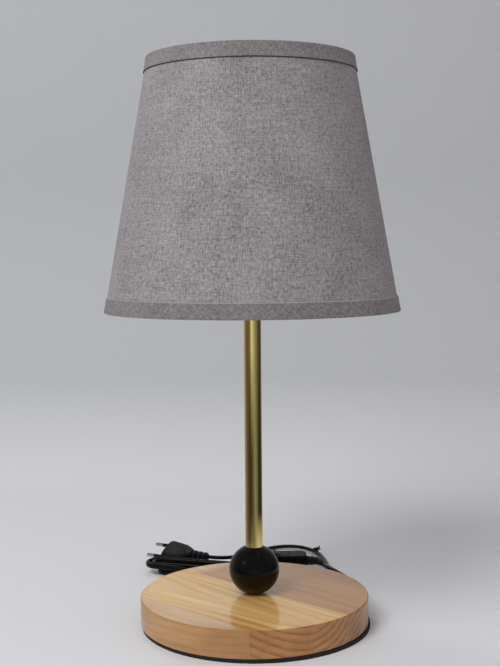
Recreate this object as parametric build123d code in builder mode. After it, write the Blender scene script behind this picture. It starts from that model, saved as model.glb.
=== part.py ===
from build123d import *
import os
from math import cos, dist, pi, radians, sin, sqrt, tan

os.makedirs("parts", exist_ok=True)

# Table lamp: a round wooden base on a black pad, a black ball, a brass tube, a fabric shade
# and a flat black cord with an in-line rocker switch, folded into a hank behind the base.
# Millimetres. +Z is up, +Y points away from the viewer, and the origin is the middle of
# the pad's underside, on the table.

# Wooden base and its pad
base_diameter = 200
base_thickness = 24
base_edge_round = 1.2
pad_thickness = 3
pad_offset = 1.4  # the pad is glued on a little off centre
well_diameter = 36
well_depth = 16
ledge_diameter = 76

# Threaded rod that holds the lamp together, with its nut and washer in the well
rod_diameter = 9.9
rod_bore = 7.2
rod_clearance = 0.3
washer_diameter = 30
washer_thickness = 1.5
nut_across_flats = 14
nut_thickness = 4
rod_end_length = 1.5

# Ball and brass tube
ball_diameter = 44
tube_diameter = 15.2
tube_wall = 0.8
tube_seat_depth = 1.5
tube_top = 296
tube_cap_diameter = 19
tube_cap_flange = 2
tube_cap_spigot = 5
slip_fit = 0.05

# Lamp holder for a 27 mm screw cap, heights counted from its own underside
neck_diameter = 17
neck_height = 8
shell_diameter = 38
shell_wall = 2
cone_height = 14
cap_height = 28
cap_floor = 9
insert_floor = 17
insert_height = 13
lock_nut_thickness = 2.5
lock_nut_across_flats = 12.6
holder_height = 58
seat_flange_diameter = 46
seat_flange_thickness = 2
seat_height = 34
thread_diameter = 39.2
thread_height = 17
screw_shell_wall = 0.4
screw_shell_height = 24
contact_rise = 4
contact_thickness = 0.4
contact_width = 5
core_diameter = 1.9
core_spread = 10
core_bend = 1.4
grub_diameter = 2.9
insert_ledge = 1.5
terminal_screw_diameter = 2.8
terminal_screw_head = 4.8
terminal_screw_head_height = 1.6
terminal_screw_place = 5
contact_tail = 9
contact_bend = 4
contact_half = 3
side_contact_start = 6
side_contact_end = 12.6
clamp_ring_flutes = 12
clamp_ring_flute_radius = 1.6

# Ring that clamps the shade on the holder
clamp_ring_diameter = 54
clamp_ring_height = 8
clamp_ring_clearance = 0.35

# Bulb with a 27 mm screw cap
bulb_cap_diameter = 26
bulb_cap_wall = 0.4
bulb_cap_height = 22
bulb_clearance = 0.3
bulb_tip_diameter = 9.6
bulb_tip_height = 1.2
bulb_insulator_height = 2.8
bulb_diameter = 60
bulb_height = 110
bulb_wall = 1.4
bulb_joint_height = 64
housing_neck_rise = 4
housing_neck_flare = 0.6
housing_bow = (1, 3)
led_board_thickness = 1.6
led_board_inset = 3
led_board_drop = 2
driver_board_width = 16

# Shade
shade_bottom = 276
shade_top = 491
shade_bottom_diameter = 255.2
shade_top_diameter = 177.8
trim_width = 13
trim_thickness = 1
trim_inner_leg = 9
trim_bottom_leg = 0.6
cloth_thickness = 0.9
liner_thickness = 0.6
glue_gap = 0.05
ring_wire_diameter = 3
fitter_bore_clearance = 0.4
fitter_width = 4
fitter_thickness = 2
spoke_count = 3

# Flat twin cord, as a round tube of the same section
cord_diameter = 4.4
table_gap = 0.1
exit_height = 9
exit_angle = 40
exit_straight = 14
cord_grip = 6
cord_bend = 6
bush_wall = 1.4
bush_length = 14
bush_flange_diameter = 11
bush_flange_thickness = 1.2
bush_mouth_round = 0.5
clamp_bar_length = 24
clamp_bar_width = 8
clamp_bar_thickness = 1.6
clamp_bar_radius = 28
clamp_screw_diameter = 2.6
clamp_screw_head = 5
clamp_screw_head_height = 1.5
clamp_screw_grip = 7

# Twist tie left on the cord
tie_length = 9
tie_gap = 0.35
tie_thickness = 0.9
tie_end_length = 8
tie_end_width = 3.2
tie_end_thickness = 1.4
tie_end_lean = (0.5, 0, 0.87)

# Hank of cord beside the switch
lane_pitch = 5.6
layer_pitch = 4.9
outer_lane = 12.5
half_turns = 7
inner_turn = 3
hank_start = 30
hank_end_run = 6

# In-line rocker switch, lying behind the base
switch_centre = (27, 171)
switch_length = 54
switch_width = 24
switch_height = 15
switch_corner = 6
switch_wall = 1.6
switch_edge_round = 2
cord_hole_clearance = 0.2
rocker_length = 15.2
rocker_width = 11
rocker_dip = 3.4
rocker_peak = 4.6
rocker_depth = 3.4
rocker_window_gap = 0.9
rocker_tilt = 8
rocker_pin_diameter = 2
rocker_pin_depth = 3
running_clearance = 0.05
cheek_thickness = 2
cheek_gap = 0.7
switch_screw_diameter = 2.6
switch_screw_head = 4.6
switch_screw_head_height = 1.8
switch_screw_place = (18, 7)
terminal_size = (6, 5, 4)
terminal_place = 13

# Two-pin plug, lying on its edge behind the hank
plug_width = 35.3
plug_thickness = 13.7
plug_bevel = 4.7
plug_grip = 5
plug_length = 34
plug_neck_width = 12
plug_neck_thickness = 9.4
relief_length = 16
relief_ribs = 3
relief_rib_diameter = 9
relief_core_diameter = 6
relief_rib_step = 0.3
relief_rib_share = 0.7
relief_lead = 16
pin_diameter = 4
pin_length = 19
pin_bare_length = 9
pin_spacing = 18.6
pin_core_diameter = 2.6
pin_root = 11
sleeve_diameter = 3.8
plug_face = (-91.6, 195.0, 11.7)
plug_heading = 151.4
plug_dip = 0.4
plug_roll = 22.5

# Places that follow from the sizes above
base_radius = base_diameter / 2
base_top = pad_thickness + base_thickness
rod_hole = rod_diameter + 2 * rod_clearance
well_roof = pad_thickness + well_depth
nut_top = well_roof - washer_thickness
rod_bottom = nut_top - nut_thickness - rod_end_length
ball_radius = ball_diameter / 2
ball_centre = base_top + sqrt(ball_radius**2 - (rod_hole / 2) ** 2)
ball_flat = ball_centre + sqrt(ball_radius**2 - (tube_diameter / 2) ** 2)
tube_bottom = ball_flat - tube_seat_depth
tube_bore = tube_diameter - 2 * tube_wall
holder_base = tube_top + tube_cap_flange
rod_top = holder_base + cap_floor + lock_nut_thickness
insert_top = holder_base + insert_floor + insert_height
shell_radius = shell_diameter / 2
shell_bore = shell_radius - shell_wall
seat_top = holder_base + seat_height
cord_radius = cord_diameter / 2
cord_floor = cord_radius + table_gap
ledge_roof = exit_height + cord_radius + slip_fit * 4
exit_out = Vector(cos(radians(exit_angle)), sin(radians(exit_angle)), 0)
exit_side = Vector(-exit_out.Y, exit_out.X, 0)
exit_face = base_radius + bush_flange_thickness
wire_radius = ring_wire_diameter / 2
wall_depth = trim_thickness + cloth_thickness + liner_thickness + 3 * glue_gap


def save(piece, name):
    """Names a finished piece and writes its STEP file."""
    piece.part.label = name
    export_step(piece.part, f"parts/{name}.step")


def ring(outer_radius, inner_radius, low, high):
    """A flat ring about the lamp's axis, between two heights."""
    with BuildPart() as piece:
        with BuildSketch(Plane.XY.offset(low)):
            Circle(outer_radius)
            if inner_radius > 0:
                Circle(inner_radius, mode=Mode.SUBTRACT)
        extrude(amount=high - low)
    return piece


def turned(outline):
    """A piece turned about the lamp's axis from corners given as radius and height."""
    with BuildPart() as piece:
        with BuildSketch(Plane.XZ):
            with BuildLine():
                Polyline(*outline, close=True)
            make_face()
        revolve(axis=Axis.Z)
    return piece


def hexagon_nut(across_flats, bore, low, high):
    """A plain nut about the lamp's axis."""
    with BuildPart() as piece:
        with BuildSketch(Plane.XY.offset(low)):
            RegularPolygon(across_flats / 2, 6, major_radius=False)
            Circle(bore / 2, mode=Mode.SUBTRACT)
        extrude(amount=high - low)
    return piece


def corner_radii(points, share=0.45):
    """The radius at each inner corner of a route: a share of the shorter run over the
    tangent of half the turn, so that each bend is as large as its two runs allow."""
    radii = []
    for before, here, after in zip(points, points[1:], points[2:]):
        turn = (here - before).get_angle(after - here)
        shorter = min((here - before).length, (after - here).length)
        radii.append(share * shorter / tan(radians(turn / 2)))
    return radii


def free_cord(name, places):
    """A stretch of cord lying free: straight runs joined by tangent arcs."""
    points = [Vector(*place) for place in places]
    radii = corner_radii(points)
    with BuildPart() as piece:
        with BuildLine() as route:
            FilletPolyline(*points, radius=radii)
        with BuildSketch(Plane(origin=points[0], z_dir=points[1] - points[0])):
            Circle(cord_radius)
        sweep(path=route.line)
    length = sum(edge.length for edge in route.line.edges())
    ratio = piece.part.volume / (pi * cord_radius**2 * length)
    print(name, "length %.0f" % length, "volume over section times length %.4f" % ratio)
    print("  corner radii", " ".join("%.0f" % radius for radius in radii))
    save(piece, name)


# Pad and wooden base
with BuildPart() as base_pad:
    with BuildSketch():
        with Locations((pad_offset, 0)):
            Circle(base_radius)
    extrude(amount=pad_thickness)
save(base_pad, "base_pad")

exit_plane = Plane(origin=exit_out * base_radius + Vector(0, 0, exit_height), z_dir=exit_out)
bush_radius = cord_radius + slip_fit * 2 + bush_wall
screw_offset = clamp_bar_length / 2 - clamp_screw_head / 2 - 1
clamp_places = [
    exit_out * clamp_bar_radius + exit_side * offset for offset in (-screw_offset, screw_offset)
]
clamp_top = exit_height - cord_radius - slip_fit
clamp_bottom = clamp_top - clamp_bar_thickness

with BuildPart() as base_disc:
    with BuildSketch(Plane.XY.offset(pad_thickness)):
        Circle(base_radius)
    extrude(amount=base_thickness)
    fillet(base_disc.edges().filter_by(GeomType.CIRCLE), base_edge_round)
    with BuildSketch(Plane.XY.offset(pad_thickness)):
        Circle(ledge_diameter / 2)
    extrude(amount=ledge_roof - pad_thickness, mode=Mode.SUBTRACT)
    with BuildSketch(Plane.XY.offset(pad_thickness)):
        Circle(well_diameter / 2)
    extrude(amount=well_depth, mode=Mode.SUBTRACT)
    with Locations((0, 0, base_top)):
        Hole(rod_hole / 2)
    with BuildSketch(exit_plane):
        Circle(bush_radius + slip_fit)
    extrude(amount=-(base_radius - ledge_diameter / 2 + 1), mode=Mode.SUBTRACT)
    with BuildSketch(Plane.XY.offset(ledge_roof)):
        with Locations(*[(place.X, place.Y) for place in clamp_places]):
            Circle(clamp_screw_diameter / 2 + slip_fit)
    extrude(amount=clamp_screw_grip, mode=Mode.SUBTRACT)
save(base_disc, "base_disc")

# Nut, washer and hollow rod that hold base, ball, tube and holder together
save(ring(washer_diameter / 2, rod_hole / 2, nut_top, well_roof), "base_washer")
save(hexagon_nut(nut_across_flats, rod_diameter + slip_fit, nut_top - nut_thickness, nut_top), "base_nut")
save(ring(rod_diameter / 2, rod_bore / 2, rod_bottom, rod_top), "lamp_rod")

# Strain relief in the base: a bush in the side hole and a bar that clamps the cord
with BuildPart() as cord_bush:
    with BuildSketch(exit_plane):
        Circle(bush_radius)
    extrude(amount=-bush_length)
    with BuildSketch(exit_plane):
        Circle(bush_flange_diameter / 2)
    extrude(amount=bush_flange_thickness)
    with BuildSketch(exit_plane.offset(bush_flange_thickness)):
        Circle(cord_radius + slip_fit * 2)
    extrude(amount=-(bush_length + bush_flange_thickness), mode=Mode.SUBTRACT)
    fillet(cord_bush.faces().sort_by(Axis((0, 0, 0), tuple(exit_out)))[-1].outer_wire().edges(), bush_mouth_round)
save(cord_bush, "cord_bush")

clamp_plane = Plane(
    origin=exit_out * clamp_bar_radius + Vector(0, 0, clamp_bottom), x_dir=exit_side, z_dir=(0, 0, 1)
)
with BuildPart() as cord_clamp:
    with BuildSketch(clamp_plane):
        RectangleRounded(clamp_bar_length, clamp_bar_width, clamp_bar_width / 3)
        with Locations((-screw_offset, 0), (screw_offset, 0)):
            Circle(clamp_screw_diameter / 2 + slip_fit * 2, mode=Mode.SUBTRACT)
    extrude(amount=clamp_bar_thickness)
save(cord_clamp, "cord_clamp")

with BuildPart() as clamp_screws:
    with BuildSketch(clamp_plane.offset(-clamp_screw_head_height)):
        with Locations((-screw_offset, 0), (screw_offset, 0)):
            Circle(clamp_screw_head / 2)
    extrude(amount=clamp_screw_head_height)
    with BuildSketch(clamp_plane):
        with Locations((-screw_offset, 0), (screw_offset, 0)):
            Circle(clamp_screw_diameter / 2)
    extrude(amount=ledge_roof - clamp_bottom + clamp_screw_grip - 1)
save(clamp_screws, "clamp_screws")

# Ball, flat where it stands on the base and counterbored to centre the tube
with BuildPart() as ball:
    with BuildSketch(Plane.XZ):
        with BuildLine():
            CenterArc((0, ball_centre), ball_radius, -90, 180)
            Line((0, ball_centre + ball_radius), (0, ball_centre - ball_radius))
        make_face()
    revolve(axis=Axis.Z)
    with BuildSketch(Plane.XY.offset(ball_centre - ball_radius)):
        Circle(rod_hole / 2)
    extrude(amount=ball_diameter, mode=Mode.SUBTRACT)
    with BuildSketch(Plane.XY.offset(tube_bottom)):
        Circle(tube_diameter / 2 + slip_fit)
    extrude(amount=ball_radius, mode=Mode.SUBTRACT)
save(ball, "ball")

save(ring(tube_diameter / 2, tube_bore / 2, tube_bottom, tube_top), "stem_tube")

with BuildPart() as tube_cap:
    with BuildSketch(Plane.XY.offset(tube_top)):
        Circle(tube_cap_diameter / 2)
    extrude(amount=tube_cap_flange)
    fillet(tube_cap.edges().sort_by(Axis.Z)[-1], tube_cap_flange / 3)
    with BuildSketch(Plane.XY.offset(tube_top)):
        Circle(tube_bore / 2 - slip_fit)
    extrude(amount=-tube_cap_spigot)
    with Locations((0, 0, holder_base)):
        Hole(rod_diameter / 2 + slip_fit)
save(tube_cap, "tube_cap")

# Lamp holder: cap, skirt with the shade's seat, insert, shell and contacts
rod_fit = rod_diameter / 2 + slip_fit
with BuildPart() as holder_cap:
    with BuildSketch(Plane.XZ):
        with BuildLine():
            Polyline(
                (rod_fit, holder_base),
                (neck_diameter / 2, holder_base),
                (neck_diameter / 2, holder_base + neck_height),
                (shell_radius, holder_base + cone_height),
                (shell_radius, holder_base + cap_height),
                (shell_bore, holder_base + cap_height),
                (shell_bore, holder_base + insert_floor),
                (shell_bore - insert_ledge, holder_base + insert_floor),
                (neck_diameter / 2, holder_base + cap_floor),
                (rod_fit, holder_base + cap_floor),
                close=True,
            )
        make_face()
    revolve(axis=Axis.Z)
    with BuildSketch(Plane.YZ.offset(-neck_diameter)):
        with Locations((0, holder_base + neck_height / 2)):
            Circle(grub_diameter / 2 + slip_fit)
    extrude(amount=neck_diameter, mode=Mode.SUBTRACT)
save(holder_cap, "holder_cap")

with BuildPart() as grub_screw:
    with BuildSketch(Plane.YZ.offset(-neck_diameter / 2)):
        with Locations((0, holder_base + neck_height / 2)):
            Circle(grub_diameter / 2)
    extrude(amount=neck_diameter / 2 - rod_diameter / 2 - slip_fit)
save(grub_screw, "grub_screw")

save(
    hexagon_nut(lock_nut_across_flats, rod_diameter + slip_fit, holder_base + cap_floor, rod_top),
    "lock_nut",
)

holder_skirt = turned(
    [
        (shell_bore, holder_base + cap_height),
        (shell_radius, holder_base + cap_height),
        (shell_radius, seat_top - seat_flange_thickness),
        (seat_flange_diameter / 2, seat_top - seat_flange_thickness),
        (seat_flange_diameter / 2, seat_top),
        (thread_diameter / 2, seat_top),
        (thread_diameter / 2, seat_top + thread_height),
        (shell_radius, seat_top + thread_height + 1),
        (shell_radius, holder_base + holder_height),
        (shell_bore, holder_base + holder_height),
    ]
)
save(holder_skirt, "holder_skirt")

core_bore = core_diameter / 2 + slip_fit * 3
terminal_screw_radius = terminal_screw_diameter / 2
with BuildPart() as holder_insert:
    with BuildSketch(Plane.XY.offset(holder_base + insert_floor)):
        Circle(shell_bore - slip_fit)
    extrude(amount=insert_height)
    with BuildSketch(Plane.XY.offset(holder_base + insert_floor)):
        with Locations((-core_spread, 0), (core_spread, 0)):
            Circle(core_bore)
        with Locations((-core_spread, terminal_screw_place), (core_spread, terminal_screw_place)):
            Circle(terminal_screw_radius + slip_fit)
    extrude(amount=insert_height / 2, mode=Mode.SUBTRACT)
save(holder_insert, "holder_insert")

with BuildPart() as terminal_screws:
    with BuildSketch(Plane.XY.offset(holder_base + insert_floor - terminal_screw_head_height)):
        with Locations((-core_spread, terminal_screw_place), (core_spread, terminal_screw_place)):
            Circle(terminal_screw_head / 2)
    extrude(amount=terminal_screw_head_height)
    with BuildSketch(Plane.XY.offset(holder_base + insert_floor)):
        with Locations((-core_spread, terminal_screw_place), (core_spread, terminal_screw_place)):
            Circle(terminal_screw_radius)
    extrude(amount=insert_height / 2 - 1)
save(terminal_screws, "terminal_screws")

screw_shell_radius = bulb_cap_diameter / 2 + bulb_clearance
save(
    ring(
        screw_shell_radius + screw_shell_wall,
        screw_shell_radius,
        insert_top,
        insert_top + screw_shell_height,
    ),
    "screw_shell",
)

with BuildPart() as centre_contact:
    with BuildSketch(Plane.XZ.offset(-contact_width / 2)):
        with BuildLine():
            Polyline(
                (-contact_tail, insert_top),
                (-contact_bend, insert_top),
                (contact_half, insert_top + contact_rise - contact_thickness),
                (contact_half, insert_top + contact_rise),
                (-contact_half, insert_top + contact_rise),
                (-contact_bend - contact_thickness, insert_top + contact_thickness),
                (-contact_tail, insert_top + contact_thickness),
                close=True,
            )
        make_face()
    extrude(amount=contact_width)
save(centre_contact, "centre_contact")

with BuildPart() as side_contact:
    with BuildSketch(Plane.XZ.offset(-contact_width / 2)):
        with BuildLine():
            Polyline(
                (side_contact_start, insert_top),
                (side_contact_end, insert_top),
                (side_contact_end, insert_top + contact_rise),
                (side_contact_end - contact_thickness, insert_top + contact_rise),
                (side_contact_end - contact_thickness, insert_top + contact_thickness),
                (side_contact_start, insert_top + contact_thickness),
                close=True,
            )
        make_face()
    extrude(amount=contact_width)
save(side_contact, "side_contact")

clamp_ring_low = seat_top + fitter_thickness + slip_fit * 2
with BuildPart() as shade_clamp_ring:
    with BuildSketch(Plane.XY.offset(clamp_ring_low)):
        Circle(clamp_ring_diameter / 2)
        Circle(thread_diameter / 2 + clamp_ring_clearance, mode=Mode.SUBTRACT)
        with PolarLocations(clamp_ring_diameter / 2, clamp_ring_flutes):
            Circle(clamp_ring_flute_radius, mode=Mode.SUBTRACT)
    extrude(amount=clamp_ring_height)
save(shade_clamp_ring, "shade_clamp_ring")

# Bulb
tip_bottom = insert_top + contact_rise + bulb_clearance
cap_bottom = tip_bottom + bulb_tip_height + bulb_insulator_height
cap_top = cap_bottom + bulb_cap_height
cap_radius = bulb_cap_diameter / 2
joint_top = tip_bottom + bulb_joint_height
globe_radius = bulb_diameter / 2
globe_centre = tip_bottom + bulb_height - globe_radius
joint_radius = sqrt(globe_radius**2 - (globe_centre - joint_top) ** 2)

save(ring(bulb_tip_diameter / 2, 0, tip_bottom, tip_bottom + bulb_tip_height), "bulb_tip_contact")
save(
    turned(
        [
            (0, tip_bottom + bulb_tip_height),
            (bulb_tip_diameter / 2 + 1, tip_bottom + bulb_tip_height),
            (cap_radius - bulb_cap_wall, cap_bottom),
            (0, cap_bottom),
        ]
    ),
    "bulb_insulator",
)
save(ring(cap_radius, cap_radius - bulb_cap_wall, cap_bottom, cap_top), "bulb_cap")

neck_radius = cap_radius + housing_neck_flare
neck_top = cap_top + housing_neck_rise
bow_radius = (cap_radius + joint_radius) / 2 - housing_bow[0]
bow_height = (cap_top + joint_top) / 2 + housing_bow[1]
with BuildPart() as bulb_housing:
    with BuildSketch(Plane.XZ):
        with BuildLine():
            Line((cap_radius, cap_top), (neck_radius, neck_top))
            ThreePointArc((neck_radius, neck_top), (bow_radius, bow_height), (joint_radius, joint_top))
            Line((joint_radius, joint_top), (joint_radius - bulb_wall, joint_top))
            ThreePointArc(
                (joint_radius - bulb_wall, joint_top),
                (bow_radius - bulb_wall, bow_height),
                (neck_radius - bulb_wall, neck_top),
            )
            Line((neck_radius - bulb_wall, neck_top), (cap_radius - bulb_wall, cap_top))
            Line((cap_radius - bulb_wall, cap_top), (cap_radius, cap_top))
        make_face()
    revolve(axis=Axis.Z)
save(bulb_housing, "bulb_housing")

with BuildPart() as bulb_globe:
    with Locations((0, 0, globe_centre)):
        Sphere(globe_radius)
        Sphere(globe_radius - bulb_wall, mode=Mode.SUBTRACT)
    with BuildSketch(Plane.XY.offset(joint_top)):
        Circle(bulb_diameter)
    extrude(amount=-bulb_diameter, mode=Mode.SUBTRACT)
save(bulb_globe, "bulb_globe")

led_board_low = joint_top - led_board_drop - led_board_thickness
led_board_radius = joint_radius - bulb_wall - led_board_inset
save(ring(led_board_radius, 0, led_board_low, led_board_low + led_board_thickness), "led_board")
with BuildPart() as driver_board:
    with BuildSketch(Plane.XY.offset(cap_bottom)):
        Rectangle(driver_board_width, led_board_thickness)
    extrude(amount=led_board_low - cap_bottom)
save(driver_board, "driver_board")

# Shade: a straight cone of cloth on a stiff liner, with a folded trim at each rim


def shade_radius(height):
    """The shade's outer radius at a height: a straight cone between the two rims."""
    share = (height - shade_bottom) / (shade_top - shade_bottom)
    return (shade_bottom_diameter + share * (shade_top_diameter - shade_bottom_diameter)) / 2


def shade_wall(outer_depth, inner_depth, low, high):
    """A band of the shade's wall, between two depths under its outer face."""
    return turned(
        [
            (shade_radius(low) - outer_depth, low),
            (shade_radius(high) - outer_depth, high),
            (shade_radius(high) - inner_depth, high),
            (shade_radius(low) - inner_depth, low),
        ]
    )


wall_low = shade_bottom + trim_thickness + glue_gap
wall_high = shade_top - trim_thickness - glue_gap
cloth_depth = trim_thickness + glue_gap
liner_depth = cloth_depth + cloth_thickness + glue_gap
save(shade_wall(cloth_depth, cloth_depth + cloth_thickness, wall_low, wall_high), "shade_cloth")
save(shade_wall(liner_depth, liner_depth + liner_thickness, wall_low, wall_high), "shade_liner")

inner_depth = wall_depth + ring_wire_diameter + 2 * glue_gap
bottom_leg_top = wall_low + trim_bottom_leg
save(
    turned(
        [
            (shade_radius(shade_bottom), shade_bottom),
            (shade_radius(shade_bottom + trim_width), shade_bottom + trim_width),
            (shade_radius(shade_bottom + trim_width) - trim_thickness, shade_bottom + trim_width),
            (shade_radius(wall_low - glue_gap) - trim_thickness, wall_low - glue_gap),
            (shade_radius(wall_low) - inner_depth, wall_low - glue_gap),
            (shade_radius(bottom_leg_top) - inner_depth, bottom_leg_top),
            (shade_radius(bottom_leg_top) - inner_depth - trim_thickness, bottom_leg_top),
            (shade_radius(shade_bottom) - inner_depth - trim_thickness, shade_bottom),
        ]
    ),
    "shade_trim_bottom",
)
top_leg_low = shade_top - trim_inner_leg
save(
    turned(
        [
            (shade_radius(shade_top), shade_top),
            (shade_radius(shade_top - trim_width), shade_top - trim_width),
            (shade_radius(shade_top - trim_width) - trim_thickness, shade_top - trim_width),
            (shade_radius(wall_high + glue_gap) - trim_thickness, wall_high + glue_gap),
            (shade_radius(wall_high) - inner_depth, wall_high + glue_gap),
            (shade_radius(top_leg_low) - inner_depth, top_leg_low),
            (shade_radius(top_leg_low) - inner_depth - trim_thickness, top_leg_low),
            (shade_radius(shade_top) - inner_depth - trim_thickness, shade_top),
        ]
    ),
    "shade_trim_top",
)

top_ring_height = wall_high - wire_radius
top_ring_radius = shade_radius(top_ring_height) - wall_depth - glue_gap - wire_radius
with BuildPart() as top_wire_ring:
    with Locations((0, 0, top_ring_height)):
        Torus(top_ring_radius, wire_radius)
save(top_wire_ring, "top_wire_ring")

# Lower frame, welded from a wire ring, three spokes and the flat ring that sits on the holder
bottom_ring_height = wall_low + wire_radius
bottom_ring_radius = shade_radius(bottom_ring_height) - wall_depth - glue_gap - wire_radius
fitter_bore = thread_diameter / 2 + fitter_bore_clearance
fitter_radius = fitter_bore + fitter_width
fitter_low = seat_top + slip_fit
spoke_start_height = fitter_low + fitter_thickness / 2
with BuildPart() as bottom_wire_ring:
    with Locations((0, 0, bottom_ring_height)):
        Torus(bottom_ring_radius, wire_radius)
save(bottom_wire_ring, "bottom_wire_ring")

shade_fitter = ring(fitter_radius, fitter_bore, fitter_low, fitter_low + fitter_thickness)
save(shade_fitter, "shade_fitter")

with BuildPart() as shade_spokes:
    for index in range(spoke_count):
        angle = radians(90 + 360 * index / spoke_count)
        outward = Vector(cos(angle), sin(angle), 0)
        start = outward * (fitter_radius - wire_radius) + Vector(0, 0, spoke_start_height)
        finish = outward * bottom_ring_radius + Vector(0, 0, bottom_ring_height)
        with BuildSketch(Plane(origin=start, z_dir=finish - start)):
            Circle(wire_radius)
        extrude(amount=(finish - start).length)
    add(bottom_wire_ring.part, mode=Mode.SUBTRACT)
    with BuildSketch(Plane.XY.offset(seat_top - fitter_width)):
        Circle(fitter_radius)
    extrude(amount=fitter_thickness + 2 * fitter_width, mode=Mode.SUBTRACT)
save(shade_spokes, "shade_spokes")

# Cord inside the lamp, from the bush up the hollow rod, and its two cores in the holder
cord_top = rod_top + core_diameter / 4
with BuildPart() as inner_cord:
    with BuildLine() as inner_route:
        FilletPolyline(
            exit_out * exit_face + Vector(0, 0, exit_height),
            (0, 0, exit_height),
            (0, 0, cord_top),
            radius=cord_bend,
        )
    with BuildSketch(Plane(origin=inner_route.line @ 0, z_dir=-exit_out)):
        Circle(cord_radius)
    sweep(path=inner_route.line)
save(inner_cord, "inner_cord")

core_turn_height = cord_top + core_diameter
core_end_height = holder_base + insert_floor + insert_height / 2 - core_diameter / 4
with BuildPart() as wire_cores:
    for side in (-1, 1):
        start = (side * (core_diameter / 2 + slip_fit), 0, cord_top)
        with BuildLine() as core_route:
            FilletPolyline(
                start,
                (start[0], 0, core_turn_height),
                (side * core_spread, 0, core_turn_height),
                (side * core_spread, 0, core_end_height),
                radius=core_bend,
            )
        with BuildSketch(Plane(origin=start, z_dir=(0, 0, 1))):
            Circle(core_diameter / 2)
        sweep(path=core_route.line)
save(wire_cores, "wire_cores")

# In-line switch, in its own plane on the table with the cord along its length
switch_plane = Plane(origin=(switch_centre[0], switch_centre[1], table_gap), z_dir=(0, 0, 1))
split_height = switch_height / 2
cord_line = table_gap + split_height
cavity = (switch_length - 2 * switch_wall, switch_width - 2 * switch_wall, switch_corner - switch_wall)
screw_places = [switch_screw_place, (-switch_screw_place[0], -switch_screw_place[1])]
boss_radius = switch_screw_diameter / 2 + switch_wall
pivot_height = switch_height - rocker_pin_depth
cord_hole_plane = Plane(
    origin=(switch_centre[0] - switch_length, switch_centre[1], cord_line), z_dir=(1, 0, 0)
)

with BuildPart() as switch_base:
    with BuildSketch(switch_plane):
        RectangleRounded(switch_length, switch_width, switch_corner)
    extrude(amount=split_height)
    fillet(switch_base.faces().sort_by(Axis.Z)[0].edges(), switch_edge_round / 2)
    with BuildSketch(switch_plane.offset(switch_wall)):
        RectangleRounded(*cavity)
        with Locations(*screw_places):
            Circle(boss_radius, mode=Mode.SUBTRACT)
    extrude(amount=split_height, mode=Mode.SUBTRACT)
    with BuildSketch(switch_plane):
        with Locations(*screw_places):
            Circle(switch_screw_diameter / 2 + slip_fit * 2)
    extrude(amount=split_height, mode=Mode.SUBTRACT)
    with BuildSketch(switch_plane):
        with Locations(*screw_places):
            Circle(switch_screw_head / 2 + slip_fit * 4)
    extrude(amount=switch_screw_head_height + slip_fit * 4, mode=Mode.SUBTRACT)
    with BuildSketch(cord_hole_plane):
        Circle(cord_radius + cord_hole_clearance)
    extrude(amount=2 * switch_length, mode=Mode.SUBTRACT)
save(switch_base, "switch_base")

window_length = rocker_length + 2 * rocker_window_gap
window_width = rocker_width + 2 * cheek_gap
cheek_middle = rocker_width / 2 + cheek_gap + cheek_thickness / 2
cheek_drop = switch_wall + rocker_pin_depth + rocker_pin_diameter / 2
pin_half = cheek_middle + cheek_thickness / 2
with BuildPart() as switch_cover:
    with BuildSketch(switch_plane.offset(split_height)):
        RectangleRounded(switch_length, switch_width, switch_corner)
    extrude(amount=split_height)
    fillet(switch_cover.faces().sort_by(Axis.Z)[-1].edges(), switch_edge_round)
    with BuildSketch(switch_plane.offset(split_height)):
        RectangleRounded(*cavity)
        with Locations(*screw_places):
            Circle(boss_radius, mode=Mode.SUBTRACT)
        with Locations((0, -cheek_middle), (0, cheek_middle)):
            Rectangle(rocker_pin_diameter * 3, cheek_thickness, mode=Mode.SUBTRACT)
    extrude(amount=split_height - switch_wall, mode=Mode.SUBTRACT)
    with BuildSketch(switch_plane.offset(split_height)):
        Rectangle(rocker_pin_diameter * 4, 2 * pin_half + 1)
    extrude(amount=switch_height - split_height - cheek_drop, mode=Mode.SUBTRACT)
    with BuildSketch(switch_plane.offset(switch_height)):
        Rectangle(window_length, window_width)
    extrude(amount=-switch_wall, mode=Mode.SUBTRACT)
    with BuildSketch(switch_plane.offset(split_height)):
        with Locations(*screw_places):
            Circle(switch_screw_diameter / 2 + slip_fit)
    extrude(amount=split_height - 2 * switch_wall, mode=Mode.SUBTRACT)
    with BuildSketch(cord_hole_plane):
        Circle(cord_radius + cord_hole_clearance)
    extrude(amount=2 * switch_length, mode=Mode.SUBTRACT)
    with BuildSketch(Plane(origin=(*switch_centre, table_gap + pivot_height), z_dir=(0, 1, 0))):
        Circle(rocker_pin_diameter / 2 + slip_fit)
    extrude(amount=pin_half, both=True, mode=Mode.SUBTRACT)
save(switch_cover, "switch_cover")

with BuildPart() as rocker_pin:
    with BuildSketch(Plane(origin=(*switch_centre, table_gap + pivot_height), z_dir=(0, 1, 0))):
        Circle(rocker_pin_diameter / 2)
    extrude(amount=pin_half, both=True)
save(rocker_pin, "rocker_pin")

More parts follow.
